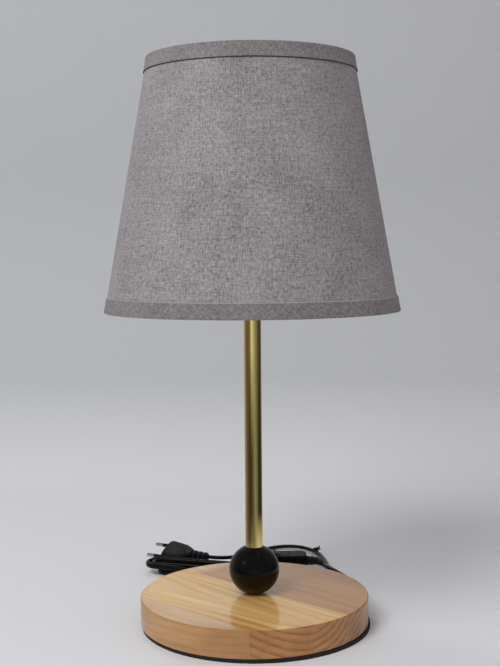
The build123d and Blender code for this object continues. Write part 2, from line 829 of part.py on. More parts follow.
# The rocker lies tilted by half its travel, pressed down at its right end
tilt = radians(rocker_tilt)
rocker_plane = Plane(
    origin=(*switch_centre, table_gap + pivot_height),
    x_dir=(cos(tilt), 0, -sin(tilt)),
    z_dir=(0, -1, 0),
)
rocker_half = rocker_length / 2
with BuildPart() as switch_rocker:
    with BuildSketch(rocker_plane):
        with BuildLine():
            Line((-rocker_half, 0), (-rocker_half, rocker_peak))
            ThreePointArc((-rocker_half, rocker_peak), (0, rocker_dip), (rocker_half, rocker_peak))
            Line((rocker_half, rocker_peak), (rocker_half, 0))
            ThreePointArc((rocker_half, 0), (0, -rocker_depth), (-rocker_half, 0))
        make_face()
        Circle(rocker_pin_diameter / 2 + running_clearance, mode=Mode.SUBTRACT)
    extrude(amount=rocker_width / 2, both=True)
save(switch_rocker, "switch_rocker")

with BuildPart() as switch_screws:
    with BuildSketch(switch_plane.offset(slip_fit * 2)):
        with Locations(*screw_places):
            Circle(switch_screw_head / 2)
    extrude(amount=switch_screw_head_height)
    with BuildSketch(switch_plane.offset(slip_fit * 2)):
        with Locations(*screw_places):
            Circle(switch_screw_diameter / 2)
    extrude(amount=switch_height - 2 * switch_wall - 1)
save(switch_screws, "switch_screws")

with BuildPart() as switch_terminals:
    with BuildSketch(switch_plane.offset(switch_wall)):
        with Locations((-terminal_place, 0), (terminal_place, 0)):
            Rectangle(terminal_size[0], terminal_size[1])
    extrude(amount=terminal_size[2])
save(switch_terminals, "switch_terminals")

# Plug, in a plane on its face whose z axis points along the pins
heading = radians(plug_heading)
dip = radians(plug_dip)
roll = radians(plug_roll)
pin_axis = Vector(cos(heading) * cos(dip), sin(heading) * cos(dip), -sin(dip))
level_side = Vector(-sin(heading), cos(heading), 0)
plug_side = level_side * cos(roll) - pin_axis.cross(level_side) * sin(roll)
plug_plane = Plane(origin=plug_face, x_dir=plug_side, z_dir=pin_axis)


def plug_section(width, thickness, bevel):
    """The corners of the plug's flattened eight-sided outline."""
    half_width = width / 2
    half_thickness = thickness / 2
    quarter = [(half_width, half_thickness - bevel), (half_width - bevel, half_thickness)]
    left = [(-across, up) for across, up in reversed(quarter)]
    lower = [(-across, -up) for across, up in quarter + left]
    return quarter + left + lower


pin_places = [(-pin_spacing / 2, 0), (pin_spacing / 2, 0)]
neck_bevel = plug_bevel * plug_neck_thickness / plug_thickness
rib_pitch = relief_length / relief_ribs
with BuildPart() as plug_body:
    with BuildSketch(plug_plane):
        with BuildLine():
            Polyline(*plug_section(plug_width, plug_thickness, plug_bevel), close=True)
        make_face()
    extrude(amount=-plug_grip)
    with BuildSketch(plug_plane.offset(-plug_grip)):
        with BuildLine():
            Polyline(*plug_section(plug_width, plug_thickness, plug_bevel), close=True)
        make_face()
    with BuildSketch(plug_plane.offset(-plug_length)):
        with BuildLine():
            Polyline(*plug_section(plug_neck_width, plug_neck_thickness, neck_bevel), close=True)
        make_face()
    loft(ruled=True)
    with BuildSketch(plug_plane.offset(-plug_length)):
        Circle(relief_core_diameter / 2)
    extrude(amount=-relief_length)
    for index in range(relief_ribs):
        with BuildSketch(plug_plane.offset(-plug_length - rib_pitch * (index + 1 - relief_rib_share))):
            Circle(relief_rib_diameter / 2 - relief_rib_step * index)
        extrude(amount=-rib_pitch * relief_rib_share)
    with BuildSketch(plug_plane):
        with Locations(*pin_places):
            Circle(sleeve_diameter / 2 + slip_fit)
    extrude(amount=-pin_root, mode=Mode.SUBTRACT)
save(plug_body, "plug_body")

sleeve_end = pin_length - pin_bare_length
with BuildPart() as plug_pins:
    with BuildSketch(plug_plane.offset(-pin_root + slip_fit)):
        with Locations(*pin_places):
            Circle(pin_core_diameter / 2)
    extrude(amount=pin_root + sleeve_end)
    with BuildSketch(plug_plane.offset(sleeve_end)):
        with Locations(*pin_places):
            Circle(pin_diameter / 2)
    extrude(amount=pin_bare_length)
    tips = plug_pins.faces().sort_by(Axis(plug_face, tuple(pin_axis)))[-2:]
    fillet(tips.edges(), pin_diameter / 4)
save(plug_pins, "plug_pins")

with BuildPart() as pin_sleeves:
    with BuildSketch(plug_plane.offset(-pin_root + slip_fit)):
        with Locations(*pin_places):
            Circle(sleeve_diameter / 2)
            Circle(pin_core_diameter / 2 + slip_fit, mode=Mode.SUBTRACT)
    extrude(amount=pin_root + sleeve_end - slip_fit * 2)
save(pin_sleeves, "pin_sleeves")

# Hank: lanes on the far side run left and lanes on the near side run right, each half
# turn one half pitch nearer the middle, then out again one layer higher
hank_left = Vector(-97, 159.5, 0)
hank_right = Vector(25, 132, 0)
hank_middle = (hank_left + hank_right) * 0.5
hank_along = (hank_left - hank_right).normalized()
hank_across = Vector(hank_along.Y, -hank_along.X, 0)
hank_half = (hank_left - hank_right).length / 2


def hank_point(turn, along, layer):
    """A place in the hank, by lane number, distance from its middle and layer. Lane
    numbers count half turns: even lanes lie on the far side, odd ones on the near side."""
    lane = outer_lane - lane_pitch / 2 * min(turn, 2 * inner_turn - turn)
    side = 1 if turn % 2 == 0 else -1
    height = cord_floor + layer_pitch * layer
    return hank_middle + hank_along * along + hank_across * (side * lane) + Vector(0, 0, height)


hank_edges = []
for turn in range(half_turns + 1):
    leftward = 1 if turn % 2 == 0 else -1
    begin = hank_start if turn == 0 else -leftward * hank_half
    low_layer = 0 if turn <= inner_turn else 1
    high_layer = 0 if turn < inner_turn else 1
    if turn == half_turns:
        run_start = hank_point(turn, hank_half, 1)
        run_end = hank_point(turn, hank_half - hank_end_run, 1)
    else:
        run_start = hank_point(turn, begin, low_layer)
        run_end = hank_point(turn, leftward * hank_half, high_layer)
    if low_layer == high_layer:
        hank_edges.append(Edge.make_line(run_start, run_end))
    else:
        # The climb is two equal arcs that start and end level
        half_way = (run_start + run_end) * 0.5
        level = Vector(run_end.X - run_start.X, run_end.Y - run_start.Y, 0)
        hank_edges.append(Edge.make_tangent_arc(run_start, level, half_way))
        slope = hank_edges[-1] % 1
        hank_edges.append(Edge.make_tangent_arc(half_way, slope, run_end))
    if turn < half_turns:
        fold_end = hank_point(turn + 1, leftward * hank_half, high_layer)
        fold_radius = (fold_end - run_end).length / 2
        fold_top = (run_end + fold_end) * 0.5 + hank_along * (leftward * fold_radius)
        hank_edges.append(Edge.make_three_point_arc(run_end, fold_top, fold_end))

hank_line = Wire(hank_edges)
with BuildPart() as cord_hank:
    with BuildSketch(Plane(origin=hank_line @ 0, z_dir=hank_along)):
        Circle(cord_radius)
    sweep(path=hank_line)
save(cord_hank, "cord_hank")

# Least gap of the hank to itself, measured between points along its centre line
sample_step = 2
hank_samples = []
travelled = 0
for edge in hank_edges:
    count = max(2, int(edge.length / sample_step))
    for index in range(count):
        place = edge @ (index / count)
        hank_samples.append((travelled + edge.length * index / count, tuple(place)))
    travelled += edge.length
least_gap = min(
    dist(place, other) - cord_diameter
    for number, (far, place) in enumerate(hank_samples)
    for near, other in hank_samples[:number]
    if far - near > 3 * cord_diameter
)
hank_ratio = cord_hank.part.volume / (pi * cord_radius**2 * travelled)
print("cord_hank length %.0f" % travelled, "least gap %.2f" % least_gap, "volume ratio %.4f" % hank_ratio)

# Free stretches: base to switch, switch to hank, hank to plug
exit_point = exit_out * exit_face + Vector(0, 0, exit_height)
switch_right = switch_centre[0] + switch_length / 2
switch_left = switch_centre[0] - switch_length / 2
lead_straight = exit_point + exit_out * exit_straight
free_cord(
    "cord_lead",
    [
        (exit_point.X, exit_point.Y, exit_point.Z),
        (lead_straight.X, lead_straight.Y, lead_straight.Z),
        (95.8, 93, 5.6),
        (96.5, 115, 4.4),
        (91, 137, 6.2),
        (81, 156, 7.9),
        (switch_right + 12, switch_centre[1], cord_line),
        (switch_right - cord_grip, switch_centre[1], cord_line),
    ],
)
link_end = hank_line @ 0
link_turn = link_end - hank_along * 17
free_cord(
    "cord_link",
    [
        (switch_left + cord_grip, switch_centre[1], cord_line),
        (switch_left - 8, switch_centre[1], cord_line),
        (-27, 167.6, cord_floor + 0.6),
        (link_turn.X, link_turn.Y, link_turn.Z),
        (link_end.X, link_end.Y, link_end.Z),
    ],
)
tail_start = hank_line @ 1
tail_straight = tail_start - hank_along * 22
relief_end = plug_plane.from_local_coords((0, 0, -plug_length - relief_length))
relief_approach = plug_plane.from_local_coords((0, 0, -plug_length - relief_length - relief_lead))
tie_height = cord_floor + tie_gap + tie_thickness
tie_run_start = Vector(66.5, 224, tie_height)
tie_run_end = Vector(50, 243, tie_height)
free_cord(
    "cord_tail",
    [
        (tail_start.X, tail_start.Y, tail_start.Z),
        (tail_straight.X, tail_straight.Y, tail_straight.Z),
        (-48, 131.4, 3.6),
        (-20, 124, cord_floor),
        (10, 117.5, cord_floor),
        (38, 119, cord_floor),
        (62, 128, cord_floor),
        (76.5, 145, cord_floor),
        (78.5, 170, cord_floor),
        (72.5, 197, cord_floor),
        (tie_run_start.X, tie_run_start.Y, tie_run_start.Z),
        (tie_run_end.X, tie_run_end.Y, tie_run_end.Z),
        (26, 247.5, cord_floor + 0.4),
        (5, 233, cord_floor),
        (-6, 210, 3.6),
        (-9.5, 187, 8.6),
        (-15, 170.5, 12.3),
        (relief_approach.X, relief_approach.Y, relief_approach.Z),
        (relief_end.X, relief_end.Y, relief_end.Z),
    ],
)

# Twist tie left on the cord, with its ends standing up
tie_at = (tie_run_start + tie_run_end) * 0.5
tie_heading = (tie_run_end - tie_run_start).normalized()
tie_plane = Plane(origin=tie_at - tie_heading * (tie_length / 2), z_dir=tie_heading)
tie_end_plane = Plane(origin=tie_at + Vector(0, 0, cord_radius), x_dir=tie_heading, z_dir=tie_end_lean)
with BuildPart() as cord_tie:
    with BuildSketch(tie_plane):
        Circle(cord_radius + tie_gap + tie_thickness)
    extrude(amount=tie_length)
    with BuildSketch(tie_end_plane):
        Rectangle(tie_end_width, tie_end_thickness)
    extrude(amount=tie_end_length)
    with BuildSketch(tie_plane):
        Circle(cord_radius + tie_gap)
    extrude(amount=tie_length, mode=Mode.SUBTRACT)
save(cord_tie, "cord_tie")
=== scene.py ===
# %% [markdown]
# # A table lamp with a linen shade
#
# The lamp stands on a round wooden base. A black ball and a brass tube carry a conical
# fabric shade, and a flat black cord lies folded behind the base. The rigid pieces come
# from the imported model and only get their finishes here. The cloth, the cord and the
# moulded plug are shaped in this file, each as a surface over a grid of numbers.

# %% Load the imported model
from math import cos, pi, radians, sin, sqrt

import bmesh
import bpy
import numpy as np
from mathutils import Matrix, Vector


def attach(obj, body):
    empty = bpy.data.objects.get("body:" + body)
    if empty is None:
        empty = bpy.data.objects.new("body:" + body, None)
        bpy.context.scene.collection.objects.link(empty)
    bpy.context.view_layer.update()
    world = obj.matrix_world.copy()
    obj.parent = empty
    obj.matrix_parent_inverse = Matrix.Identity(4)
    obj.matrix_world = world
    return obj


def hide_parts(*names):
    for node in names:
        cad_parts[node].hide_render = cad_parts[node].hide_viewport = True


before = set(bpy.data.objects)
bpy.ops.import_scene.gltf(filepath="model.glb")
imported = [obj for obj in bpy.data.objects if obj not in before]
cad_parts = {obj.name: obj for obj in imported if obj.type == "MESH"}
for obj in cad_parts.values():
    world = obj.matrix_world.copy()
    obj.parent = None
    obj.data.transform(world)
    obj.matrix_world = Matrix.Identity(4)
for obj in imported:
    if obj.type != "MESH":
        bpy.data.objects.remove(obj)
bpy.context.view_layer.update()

# %% [markdown]
# ## Camera
#
# A camera is a position, a direction and a lens. The lamp was seen from a metre away,
# level with the lower part of its shade and looking slightly down, so the base shows its
# top and the shade shows no inside. The three directions of the camera are written as
# columns of a matrix, which avoids any doubt about the order of rotations. Here and
# below, places are in metres and angles in radians.

# %% Camera
camera_place = Vector((0.0, -0.993, 0.334))
pitch, roll, turn = 0.0778, -0.0082, -0.0021
picture_height = 666
focal_pixels = 1150

looking = Vector((sin(turn) * cos(pitch), cos(turn) * cos(pitch), -sin(pitch)))
level_right = Vector((cos(turn), -sin(turn), 0))
tilted_up = level_right.cross(looking)
camera_right = level_right * cos(roll) + tilted_up * sin(roll)
camera_up = tilted_up * cos(roll) - level_right * sin(roll)

camera_data = bpy.data.cameras.new("camera")
camera_data.sensor_width = 36
camera_data.lens = focal_pixels * camera_data.sensor_width / picture_height
camera = bpy.data.objects.new("camera", camera_data)
bpy.context.scene.collection.objects.link(camera)
facing = Matrix((camera_right, camera_up, -looking)).transposed().to_4x4()
camera.matrix_world = Matrix.Translation(camera_place) @ facing
bpy.context.scene.camera = camera
print("lens", round(camera_data.lens, 1), "mm")

# %% [markdown]
# ## Surfaces over a grid
#
# Every new piece here is a rectangular grid of points bent into shape. A tube wraps
# round in one direction, a ring wraps round in both. The helper turns such a grid into
# a mesh with whole-array arithmetic, closes its ends where asked, and turns the faces
# outwards by testing the sign of the enclosed volume.

# %% A mesh from a grid of points


def grid_faces(rows, columns, wrap_rows, wrap_columns):
    """Corner numbers of every quad of a grid, where point (i, j) has number
    i * columns + j. A wrapped direction joins its last line to its first."""
    row, column = np.meshgrid(
        np.arange(rows if wrap_rows else rows - 1),
        np.arange(columns if wrap_columns else columns - 1),
        indexing="ij",
    )
    next_row, next_column = (row + 1) % rows, (column + 1) % columns
    corners = [(row, column), (next_row, column), (next_row, next_column), (row, next_column)]
    return np.stack([i * columns + j for i, j in corners], axis=-1).reshape(-1, 4)


def enclosed_volume(points, quads):
    """Sum over all triangles of the triple product of their corners, over six: positive
    where the faces point outwards."""
    a, b, c, d = (points[quads[:, k]] for k in range(4))
    return np.sum(a * (np.cross(b, c) + np.cross(c, d))) / 6


def corner_map(quads, rows, columns, uv):
    """The map's pair of numbers at each corner of each quad. A quad that joins the last
    line to the first takes the map's extra line for its corners on the first."""
    row, column = np.divmod(quads, columns)
    closes_rows = (row.max(axis=1, keepdims=True) == rows - 1) & (rows > 2)
    closes_columns = (column.max(axis=1, keepdims=True) == columns - 1) & (columns > 2)
    row = np.where((row == 0) & closes_rows, rows, row)
    column = np.where((column == 0) & closes_columns, columns, column)
    return uv[row, column].reshape(-1)


def weld_points(mesh):
    """Joins points less than a thousandth of a millimetre apart."""
    joined = bmesh.new()
    joined.from_mesh(mesh)
    bmesh.ops.remove_doubles(joined, verts=joined.verts, dist=1e-6)
    joined.to_mesh(mesh)
    joined.free()


def make_piece(
    name, grid, wrap_rows=False, wrap_columns=True, uv=None, cap_ends=False, crease=40, weld=False
):
    """An object whose mesh is the grid's points. uv holds one pair of numbers for each
    grid point, with an extra row or column where that direction wraps. Edges bent by
    more than the crease, in degrees, stay sharp. Where an end has shrunk to a point, weld
    makes its ring one point."""
    rows, columns = grid.shape[:2]
    points = grid.reshape(-1, 3)
    quads = grid_faces(rows, columns, wrap_rows, wrap_columns)
    flipped = enclosed_volume(points - points.mean(axis=0), quads) < 0
    if flipped:
        quads = quads[:, ::-1]
    faces = quads.tolist()
    if cap_ends:
        first = list(range(columns))
        last = [(rows - 1) * columns + j for j in range(columns)]
        faces += [first[::-1], last] if flipped else [first, last[::-1]]
    mesh = bpy.data.meshes.new(name)
    mesh.from_pydata(points.tolist(), [], faces)
    if uv is not None:
        picked = np.zeros(len(mesh.loops) * 2)
        picked[: quads.size * 2] = corner_map(quads, rows, columns, uv)
        mesh.uv_layers.new(name="UVMap").data.foreach_set("uv", picked)
    if weld:
        weld_points(mesh)
    mesh.polygons.foreach_set("use_smooth", [True] * len(mesh.polygons))
    mesh.set_sharp_from_angle(angle=radians(crease))
    mesh.validate()
    piece = bpy.data.objects.new(name, mesh)
    bpy.context.scene.collection.objects.link(piece)
    print(name, len(mesh.vertices), "points,", len(mesh.polygons), "faces")
    return piece


# %% [markdown]
# ## The cord's route
#
# A cord is one smooth line through the places where it lies. It leaves the base at the
# right rear, runs through the in-line switch, is folded to and fro in a flat hank, comes
# round behind the base and ends in the plug. The folds are written by a formula: each
# half turn is an arc of six points, a little inside or outside the one before, and the
# line climbs from the lower layer to the upper one along a straight run. The lower
# layer's left folds have slipped aside, so they show beside the upper ones, which stand
# a little off them.

# %% The hank's folds
hank_left = Vector((-0.097, 0.1595, 0))
hank_right = Vector((0.025, 0.132, 0))
hank_along = (hank_left - hank_right).normalized()
hank_across = Vector((hank_along.y, -hank_along.x, 0))
hank_middle = (hank_left + hank_right) / 2
hank_half = (hank_left - hank_right).length / 2
outer_lane, lane_pitch = 0.0125, 0.0056
half_turns, inner_turn, arc_points = 7, 3, 6
layer_heights = (0.0027, 0.0080)
# How far each left fold stops short, and how far the lower ones have slipped
left_reach = {0: -0.009, 2: -0.011, 4: -0.003, 6: -0.0025}
slipped_aside = Vector((0.0025, -0.0015, 0))
spring_up = 0.0022
first_along, last_short, link_along = 0.030, 0.028, 0.013


def hank_place(number, along, layer):
    """A place in the hank from the lane's number, the distance along it and the layer.
    Even lanes lie on the far side and odd lanes on the near side."""
    lane = outer_lane - lane_pitch / 2 * min(number, 2 * inner_turn - number)
    side = 1 if number % 2 == 0 else -1
    height = layer_heights[layer] + layer * spring_up * max(0, along / hank_half) ** 2
    return hank_middle + hank_along * along + hank_across * (side * lane) + Vector((0, 0, height))


hank_route = [hank_place(0, first_along, 0)]
step = radians(90) / arc_points
for number in range(half_turns):
    leftward = 1 if number % 2 == 0 else -1
    layer_here = 0 if number < inner_turn else 1
    reach = leftward * (hank_half + left_reach.get(number, 0))
    here = hank_place(number, reach, layer_here)
    there = hank_place(number + 1, reach, layer_here)
    if leftward == 1 and layer_here == 0:
        here, there = here + slipped_aside, there + slipped_aside
    centre, radius = (here + there) / 2, (here - there).length / 2
    spoke = (here - there) / 2
    lead_in = hank_along * (leftward * 2 * radius * sin(step) / cos(step))
    hank_route.append(here - lead_in)
    for index in range(arc_points):
        angle = step * (2 * index + 1)
        outward = hank_along * (leftward * radius * sin(angle)) + spoke * cos(angle)
        hank_route.append(centre + outward / cos(step))
    hank_route.append(there - lead_in)
hank_route.append(hank_place(half_turns, hank_half - last_short, 1))
print("hank of", half_turns, "half turns,", len(hank_route), "points")

# %% The places of the whole route
lead_route = [
    (0.0775, 0.0651, 0.0090), (0.0882, 0.0740, 0.0090), (0.0945, 0.0930, 0.0058),
    (0.0930, 0.1120, 0.0050), (0.0850, 0.1290, 0.0056), (0.0765, 0.1440, 0.0070),
    (0.0715, 0.1580, 0.0062), (0.0650, 0.1695, 0.0078), (0.0560, 0.1710, 0.0076),
    (0.0480, 0.1710, 0.0076),
]
link_route = [(0.0060, 0.1710, 0.0076), (-0.0080, 0.1710, 0.0076), (-0.0270, 0.1676, 0.0034)]
link_turn = hank_place(0, link_along, 0)
tail_route = [
    (-0.0480, 0.1314, 0.0048), (-0.0200, 0.1240, 0.0019), (0.0100, 0.1175, 0.0019),
    (0.0380, 0.1190, 0.0019), (0.0620, 0.1280, 0.0019), (0.0740, 0.1450, 0.0022),
    (0.0750, 0.1700, 0.0024), (0.0725, 0.1970, 0.0026), (0.0655, 0.2210, 0.0039),
    (0.0490, 0.2410, 0.0039), (0.0265, 0.2455, 0.0027), (0.0060, 0.2310, 0.0023),
    (-0.0060, 0.2100, 0.0036), (-0.0095, 0.1870, 0.0092), (-0.0150, 0.1705, 0.0127),
    (-0.0336, 0.1634, 0.0127), (-0.0477, 0.1711, 0.0121),
]
route = lead_route + link_route + [tuple(place) for place in [link_turn] + hank_route] + tail_route
print("route of", len(route), "places")

# %% One smooth line through the route
cord_curve = bpy.data.curves.new("cord_route", "CURVE")
cord_curve.dimensions = "3D"
spline = cord_curve.splines.new("NURBS")
spline.points.add(len(route) - 1)
spline.points.foreach_set("co", np.c_[np.array(route), np.ones(len(route))].reshape(-1))
spline.order_u = 3
spline.use_endpoint_u = True
spline.resolution_u = 10
route_object = bpy.data.objects.new("cord_route", cord_curve)
bpy.context.scene.collection.objects.link(route_object)
route_mesh = bpy.data.meshes.new_from_object(route_object)
route_line = np.empty(len(route_mesh.vertices) * 3)
route_mesh.vertices.foreach_get("co", route_line)
route_line = route_line.reshape(-1, 3)
bpy.data.objects.remove(route_object)
bpy.data.meshes.remove(route_mesh)


def arc_lengths(line):
    """Distance travelled along a line of points, from its first point to each one."""
    return np.r_[0, np.cumsum(np.linalg.norm(np.diff(line, axis=0), axis=1))]


def even_steps(line, step):
    """Points at an even step along a line, found by linear interpolation on the
    distance travelled."""
    travelled = arc_lengths(line)
    wanted = np.linspace(0, travelled[-1], int(travelled[-1] / step) + 1)
    return np.stack([np.interp(wanted, travelled, line[:, k]) for k in range(3)], axis=1)


ring_step = 0.0015
cord_line = even_steps(route_line, ring_step)
cord_travel = arc_lengths(cord_line)
print("cord length", round(cord_travel[-1], 3), "m,", len(cord_line), "rings")

# %% [markdown]
# ## The flat cord
#
# Lamp cord is two cores side by side in one flat sheath, so its section is an oval with
# straight flanks. It bends easily only across its thin direction. In the hank it
# therefore stands on edge, while on the table it lies flat, and it twists slowly from
# one to the other along the runs between.

# %% Sections carried along a line
cord_width, cord_thickness = 0.0052, 0.0033
cord_sides, way_round = 20, 0.014


def oval_section(width, thickness, count):
    """Outline of two half circles joined by straight flanks: the circle's points, moved
    sideways by half the difference of the two sizes."""
    angle = np.arange(count) * 2 * pi / count + pi / count
    across = np.cos(angle) * thickness / 2 + np.sign(np.cos(angle)) * (width - thickness) / 2
    return np.stack([across, np.sin(angle) * thickness / 2], axis=1)


def smooth_step(value, low, high):
    """0 below low, 1 above high, and 3t² - 2t³ between them."""
    share = np.clip((value - low) / (high - low), 0, 1)
    return share * share * (3 - 2 * share)


def unit(vectors):
    """Each vector over its own length."""
    return vectors / np.linalg.norm(vectors, axis=1, keepdims=True)


def carried(line, wide, thin, section):
    """Each point of the line, plus the section's first number times the wide direction
    there, plus its second number times the thin one. The section may be one for all
    points, or a pile of them, one for each."""
    return line[:, None] + wide[:, None] * section[..., :1] + thin[:, None] * section[..., 1:]


def swept(line, section, twist):
    """A section carried along a line. At each point the section's axes are the level
    direction square to the line and the one above it, turned by the twist there."""
    along = unit(np.gradient(line, axis=0))
    side = unit(np.cross(along, [0, 0, 1]))
    above = np.cross(side, along)
    cosine, sine = np.cos(twist)[:, None], np.sin(twist)[:, None]
    return carried(line, side * cosine + above * sine, above * cosine - side * sine, section)


def travel_at(place):
    """Distance along the cord of its point nearest to a place."""
    return cord_travel[np.linalg.norm(cord_line - np.array(place), axis=1).argmin()]


# %% The cord's sheath
hank_from, hank_to = travel_at(hank_route[0]), travel_at(hank_route[-1])
# The cord gets up on edge between two distances from the hank's start, and lies down
# again between two from its end
getting_up, lying_down = (-0.030, 0.010), (-0.004, 0.045)
on_edge = smooth_step(cord_travel, hank_from + getting_up[0], hank_from + getting_up[1])
on_edge *= 1 - smooth_step(cord_travel, hank_to + lying_down[0], hank_to + lying_down[1])
cord_section = oval_section(cord_width, cord_thickness, cord_sides)
cord_uv = np.meshgrid(cord_travel, np.linspace(0, way_round, cord_sides + 1), indexing="ij")
cord_tube = swept(cord_line, cord_section, on_edge * pi / 2)
mains_cord = make_piece("mains_cord", cord_tube, uv=np.stack(cord_uv, axis=2), cap_ends=True)
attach(mains_cord, "root")
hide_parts("cord_lead", "cord_link", "cord_hank", "cord_tail")
print("hank from", round(hank_from, 3), "to", round(hank_to, 3))

# %% [markdown]
# ## The switch's sleeve
#
# A soft sleeve guards the cord where it enters the switch. It follows the cord's own
# line, starts inside the switch, tapers from a thick section to one just round the cord,
# and has four shallow ribs.

# %% The sleeve
switch_end = (0.0540, 0.1710, 0.0076)
sleeve_length, hidden_share, sleeve_ribs = 0.020, 0.15, 4
past_switch = (travel_at(switch_end) - cord_travel) / sleeve_length
in_sleeve = (past_switch > -hidden_share) & (past_switch < 1)
sleeve_line, past_switch = cord_line[in_sleeve], past_switch[in_sleeve]
# Full thickness at the switch and a tenth of it at the end, with shallow grooves
taper = 1 - 0.9 * np.clip(past_switch, 0, 1) ** 1.5
taper *= 0.86 + 0.14 * np.cos(past_switch * 2 * pi * sleeve_ribs)
thick_section = oval_section(0.0112, 0.0104, cord_sides)
sleeve_sections = cord_section + taper[:, None, None] * (thick_section - cord_section)
sleeve_tube = swept(sleeve_line, sleeve_sections, np.zeros(len(sleeve_line)))
switch_sleeve = make_piece("switch_sleeve", sleeve_tube, cap_ends=True, crease=60)
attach(switch_sleeve, "root")

# %% [markdown]
# ## The plug
#
# The plug is one piece of soft plastic moulded round its pins: a flat grip with a
# rounded face, a taper, and a ribbed sleeve that lets the cord bend gently. Its section
# is a squared-off oval whose width, thickness and squareness change along the way, and
# the ribs are rings that stand out from the sleeve.

# %% The plug's body
plug_heading, plug_dip, plug_roll = radians(151.4), radians(0.4), radians(22.5)
plug_face = np.array((-0.0916, 0.1950, 0.0117))
pin_axis = Vector((cos(plug_heading) * cos(plug_dip), sin(plug_heading) * cos(plug_dip), -sin(plug_dip)))
level_side = Vector((-sin(plug_heading), cos(plug_heading), 0))
plug_side = level_side * cos(plug_roll) - pin_axis.cross(level_side) * sin(plug_roll)
plug_above = pin_axis.cross(plug_side)

# Distances from the face backwards, here in millimetres: face, grip, taper and sleeve
face_mm, grip_mm, taper_mm = [0, 0, 0.3, 0.9, 1.8], np.linspace(3, 14, 12), np.linspace(15, 34, 20)
sleeve_mm = [*np.linspace(34.3, 50, 64), 50.2, 50.2]
stations_mm = np.r_[face_mm, grip_mm, taper_mm, sleeve_mm]
wide_stops_mm = [0, 3, 12, 20, 26, 31.5, 32, 50]
half_wide = np.interp(stations_mm, wide_stops_mm, [13.6, 14.0, 13.4, 12.0, 8.8, 5.2, 3.2, 2.9]) / 1000
half_thick = np.interp(stations_mm, [0, 4, 31.5, 32, 50], [6.3, 6.6, 4.6, 3.1, 2.8]) / 1000
squareness = np.interp(stations_mm, [0, 14, 31.5, 32], [3.6, 3.6, 3.0, 2.6])
stations = stations_mm / 1000
# A shallow grip is pressed into each flat side
grip_start, grip_length, grip_depth = 0.003, 0.022, 0.0009
half_thick -= grip_depth * np.sin(np.clip((stations - grip_start) / grip_length, 0, 1) * pi)
# The edge of the face is rounded, and both ends close to a point in the middle
closing = np.ones(len(stations))
closing[:5] = [0.0, 0.93, 0.965, 0.99, 1.0]
closing[-1] = 0
half_wide, half_thick = half_wide * closing, half_thick * closing

# %% The plug's ribs and its surface
sleeve_start, sleeve_run = 0.0320, 0.018
first_rib, last_rib, rib_pitch = 0.0318, 0.0497, 0.0060
rib_wave = np.cos((stations - first_rib) / rib_pitch * 2 * pi - pi)
ribs = smooth_step(rib_wave, -0.6, -0.2) * (stations > sleeve_start) * (stations < last_rib)
rib_height = 0.0016 - 0.0006 * np.clip((stations - sleeve_start) / sleeve_run, 0, 1)
plug_sides = 48
around = np.arange(plug_sides) * 2 * pi / plug_sides


def squared(part):
    """A sine or cosine, bent so that the oval comes out squared off: its size to the
    power two over the squareness, with its sign kept."""
    return np.sign(part) * np.abs(part) ** (2 / squareness[:, None])


wide = (half_wide + ribs * rib_height)[:, None] * squared(np.cos(around)[None, :])
thick = (half_thick + ribs * rib_height)[:, None] * squared(np.sin(around)[None, :])
plug_section = np.stack([wide, thick], axis=2)
plug_axis_line = plug_face - stations[:, None] * np.array(pin_axis)
plug_grid = carried(plug_axis_line, np.array([plug_side]), np.array([plug_above]), plug_section)
moulded_plug = make_piece("moulded_plug", plug_grid, crease=35, weld=True)
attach(moulded_plug, "root")
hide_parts("plug_body")

# %% [markdown]
# ## The wire tie
#
# A plastic strip with a wire inside holds new cord together. Here it is left on one run:
# the strip is wound a turn and a half round the cord and its two ends, twisted
# together, stick out. The strip follows a helix, and the ends are two more helices half
# a turn apart.

# %% The tie
tie_centre = Vector((0.0650, 0.2220, 0.0037))
tie_along = Vector((-0.0130, 0.020, 0)).normalized()
tie_side = tie_along.cross(Vector((0, 0, 1)))


def ribbon(path, flat_way, width, thickness):
    """A thin strip along a path: its section is an oval whose long side follows the
    given directions, made square to the path."""
    along = unit(np.gradient(path, axis=0))
    flat_way = unit(flat_way - along * np.einsum("ij,ij->i", flat_way, along)[:, None])
    return carried(path, flat_way, np.cross(along, flat_way), oval_section(width, thickness, 10))


wind_turns, wound_length = 1.5, 0.0046
wind_wide, wind_high = 0.0031, 0.00225
wound = np.linspace(0, 2 * pi * wind_turns, 60)
tie_path = (
    np.array(tie_centre)
    + np.outer((wound / wound[-1] - 0.5) * wound_length, tie_along)
    + np.outer(np.sin(wound) * wind_wide, tie_side)
    + np.outer(np.cos(wound) * wind_high, (0, 0, 1))
)
flat_way = np.tile(np.array(tie_along), (len(wound), 1))
tie_strip = make_piece("tie_strip", ribbon(tie_path, flat_way, 0.0030, 0.0007), cap_ends=True)

# %% The tie's twisted ends
end_length, end_turns, end_gap, end_flare = 0.0052, 1.6, 0.0006, 0.0009
climb = np.linspace(0, 1, 50)
tie_foot = np.array(tie_centre) + np.array((0, 0, wind_high))
stand = Vector((0.93, -0.20, 0.22)).normalized()
stand_side = stand.cross(Vector((0, 1, 0))).normalized()
stand_front = stand.cross(stand_side)
tie_ends = []
for number in range(2):
    spin = climb * 2 * pi * end_turns + number * pi
    radius = end_gap + end_flare * smooth_step(climb, 0.75, 1.0)
    round_way = np.outer(np.cos(spin), stand_side) + np.outer(np.sin(spin), stand_front)
    flat_way = np.outer(-np.sin(spin), stand_side) + np.outer(np.cos(spin), stand_front)
    end_path = tie_foot + np.outer(climb * end_length, stand) + radius[:, None] * round_way
    end_strip = ribbon(end_path, flat_way, 0.0032, 0.0008)
    tie_ends.append(make_piece(f"tie_end_{number + 1}", end_strip, cap_ends=True))
for piece in [tie_strip] + tie_ends:
    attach(piece, "root")
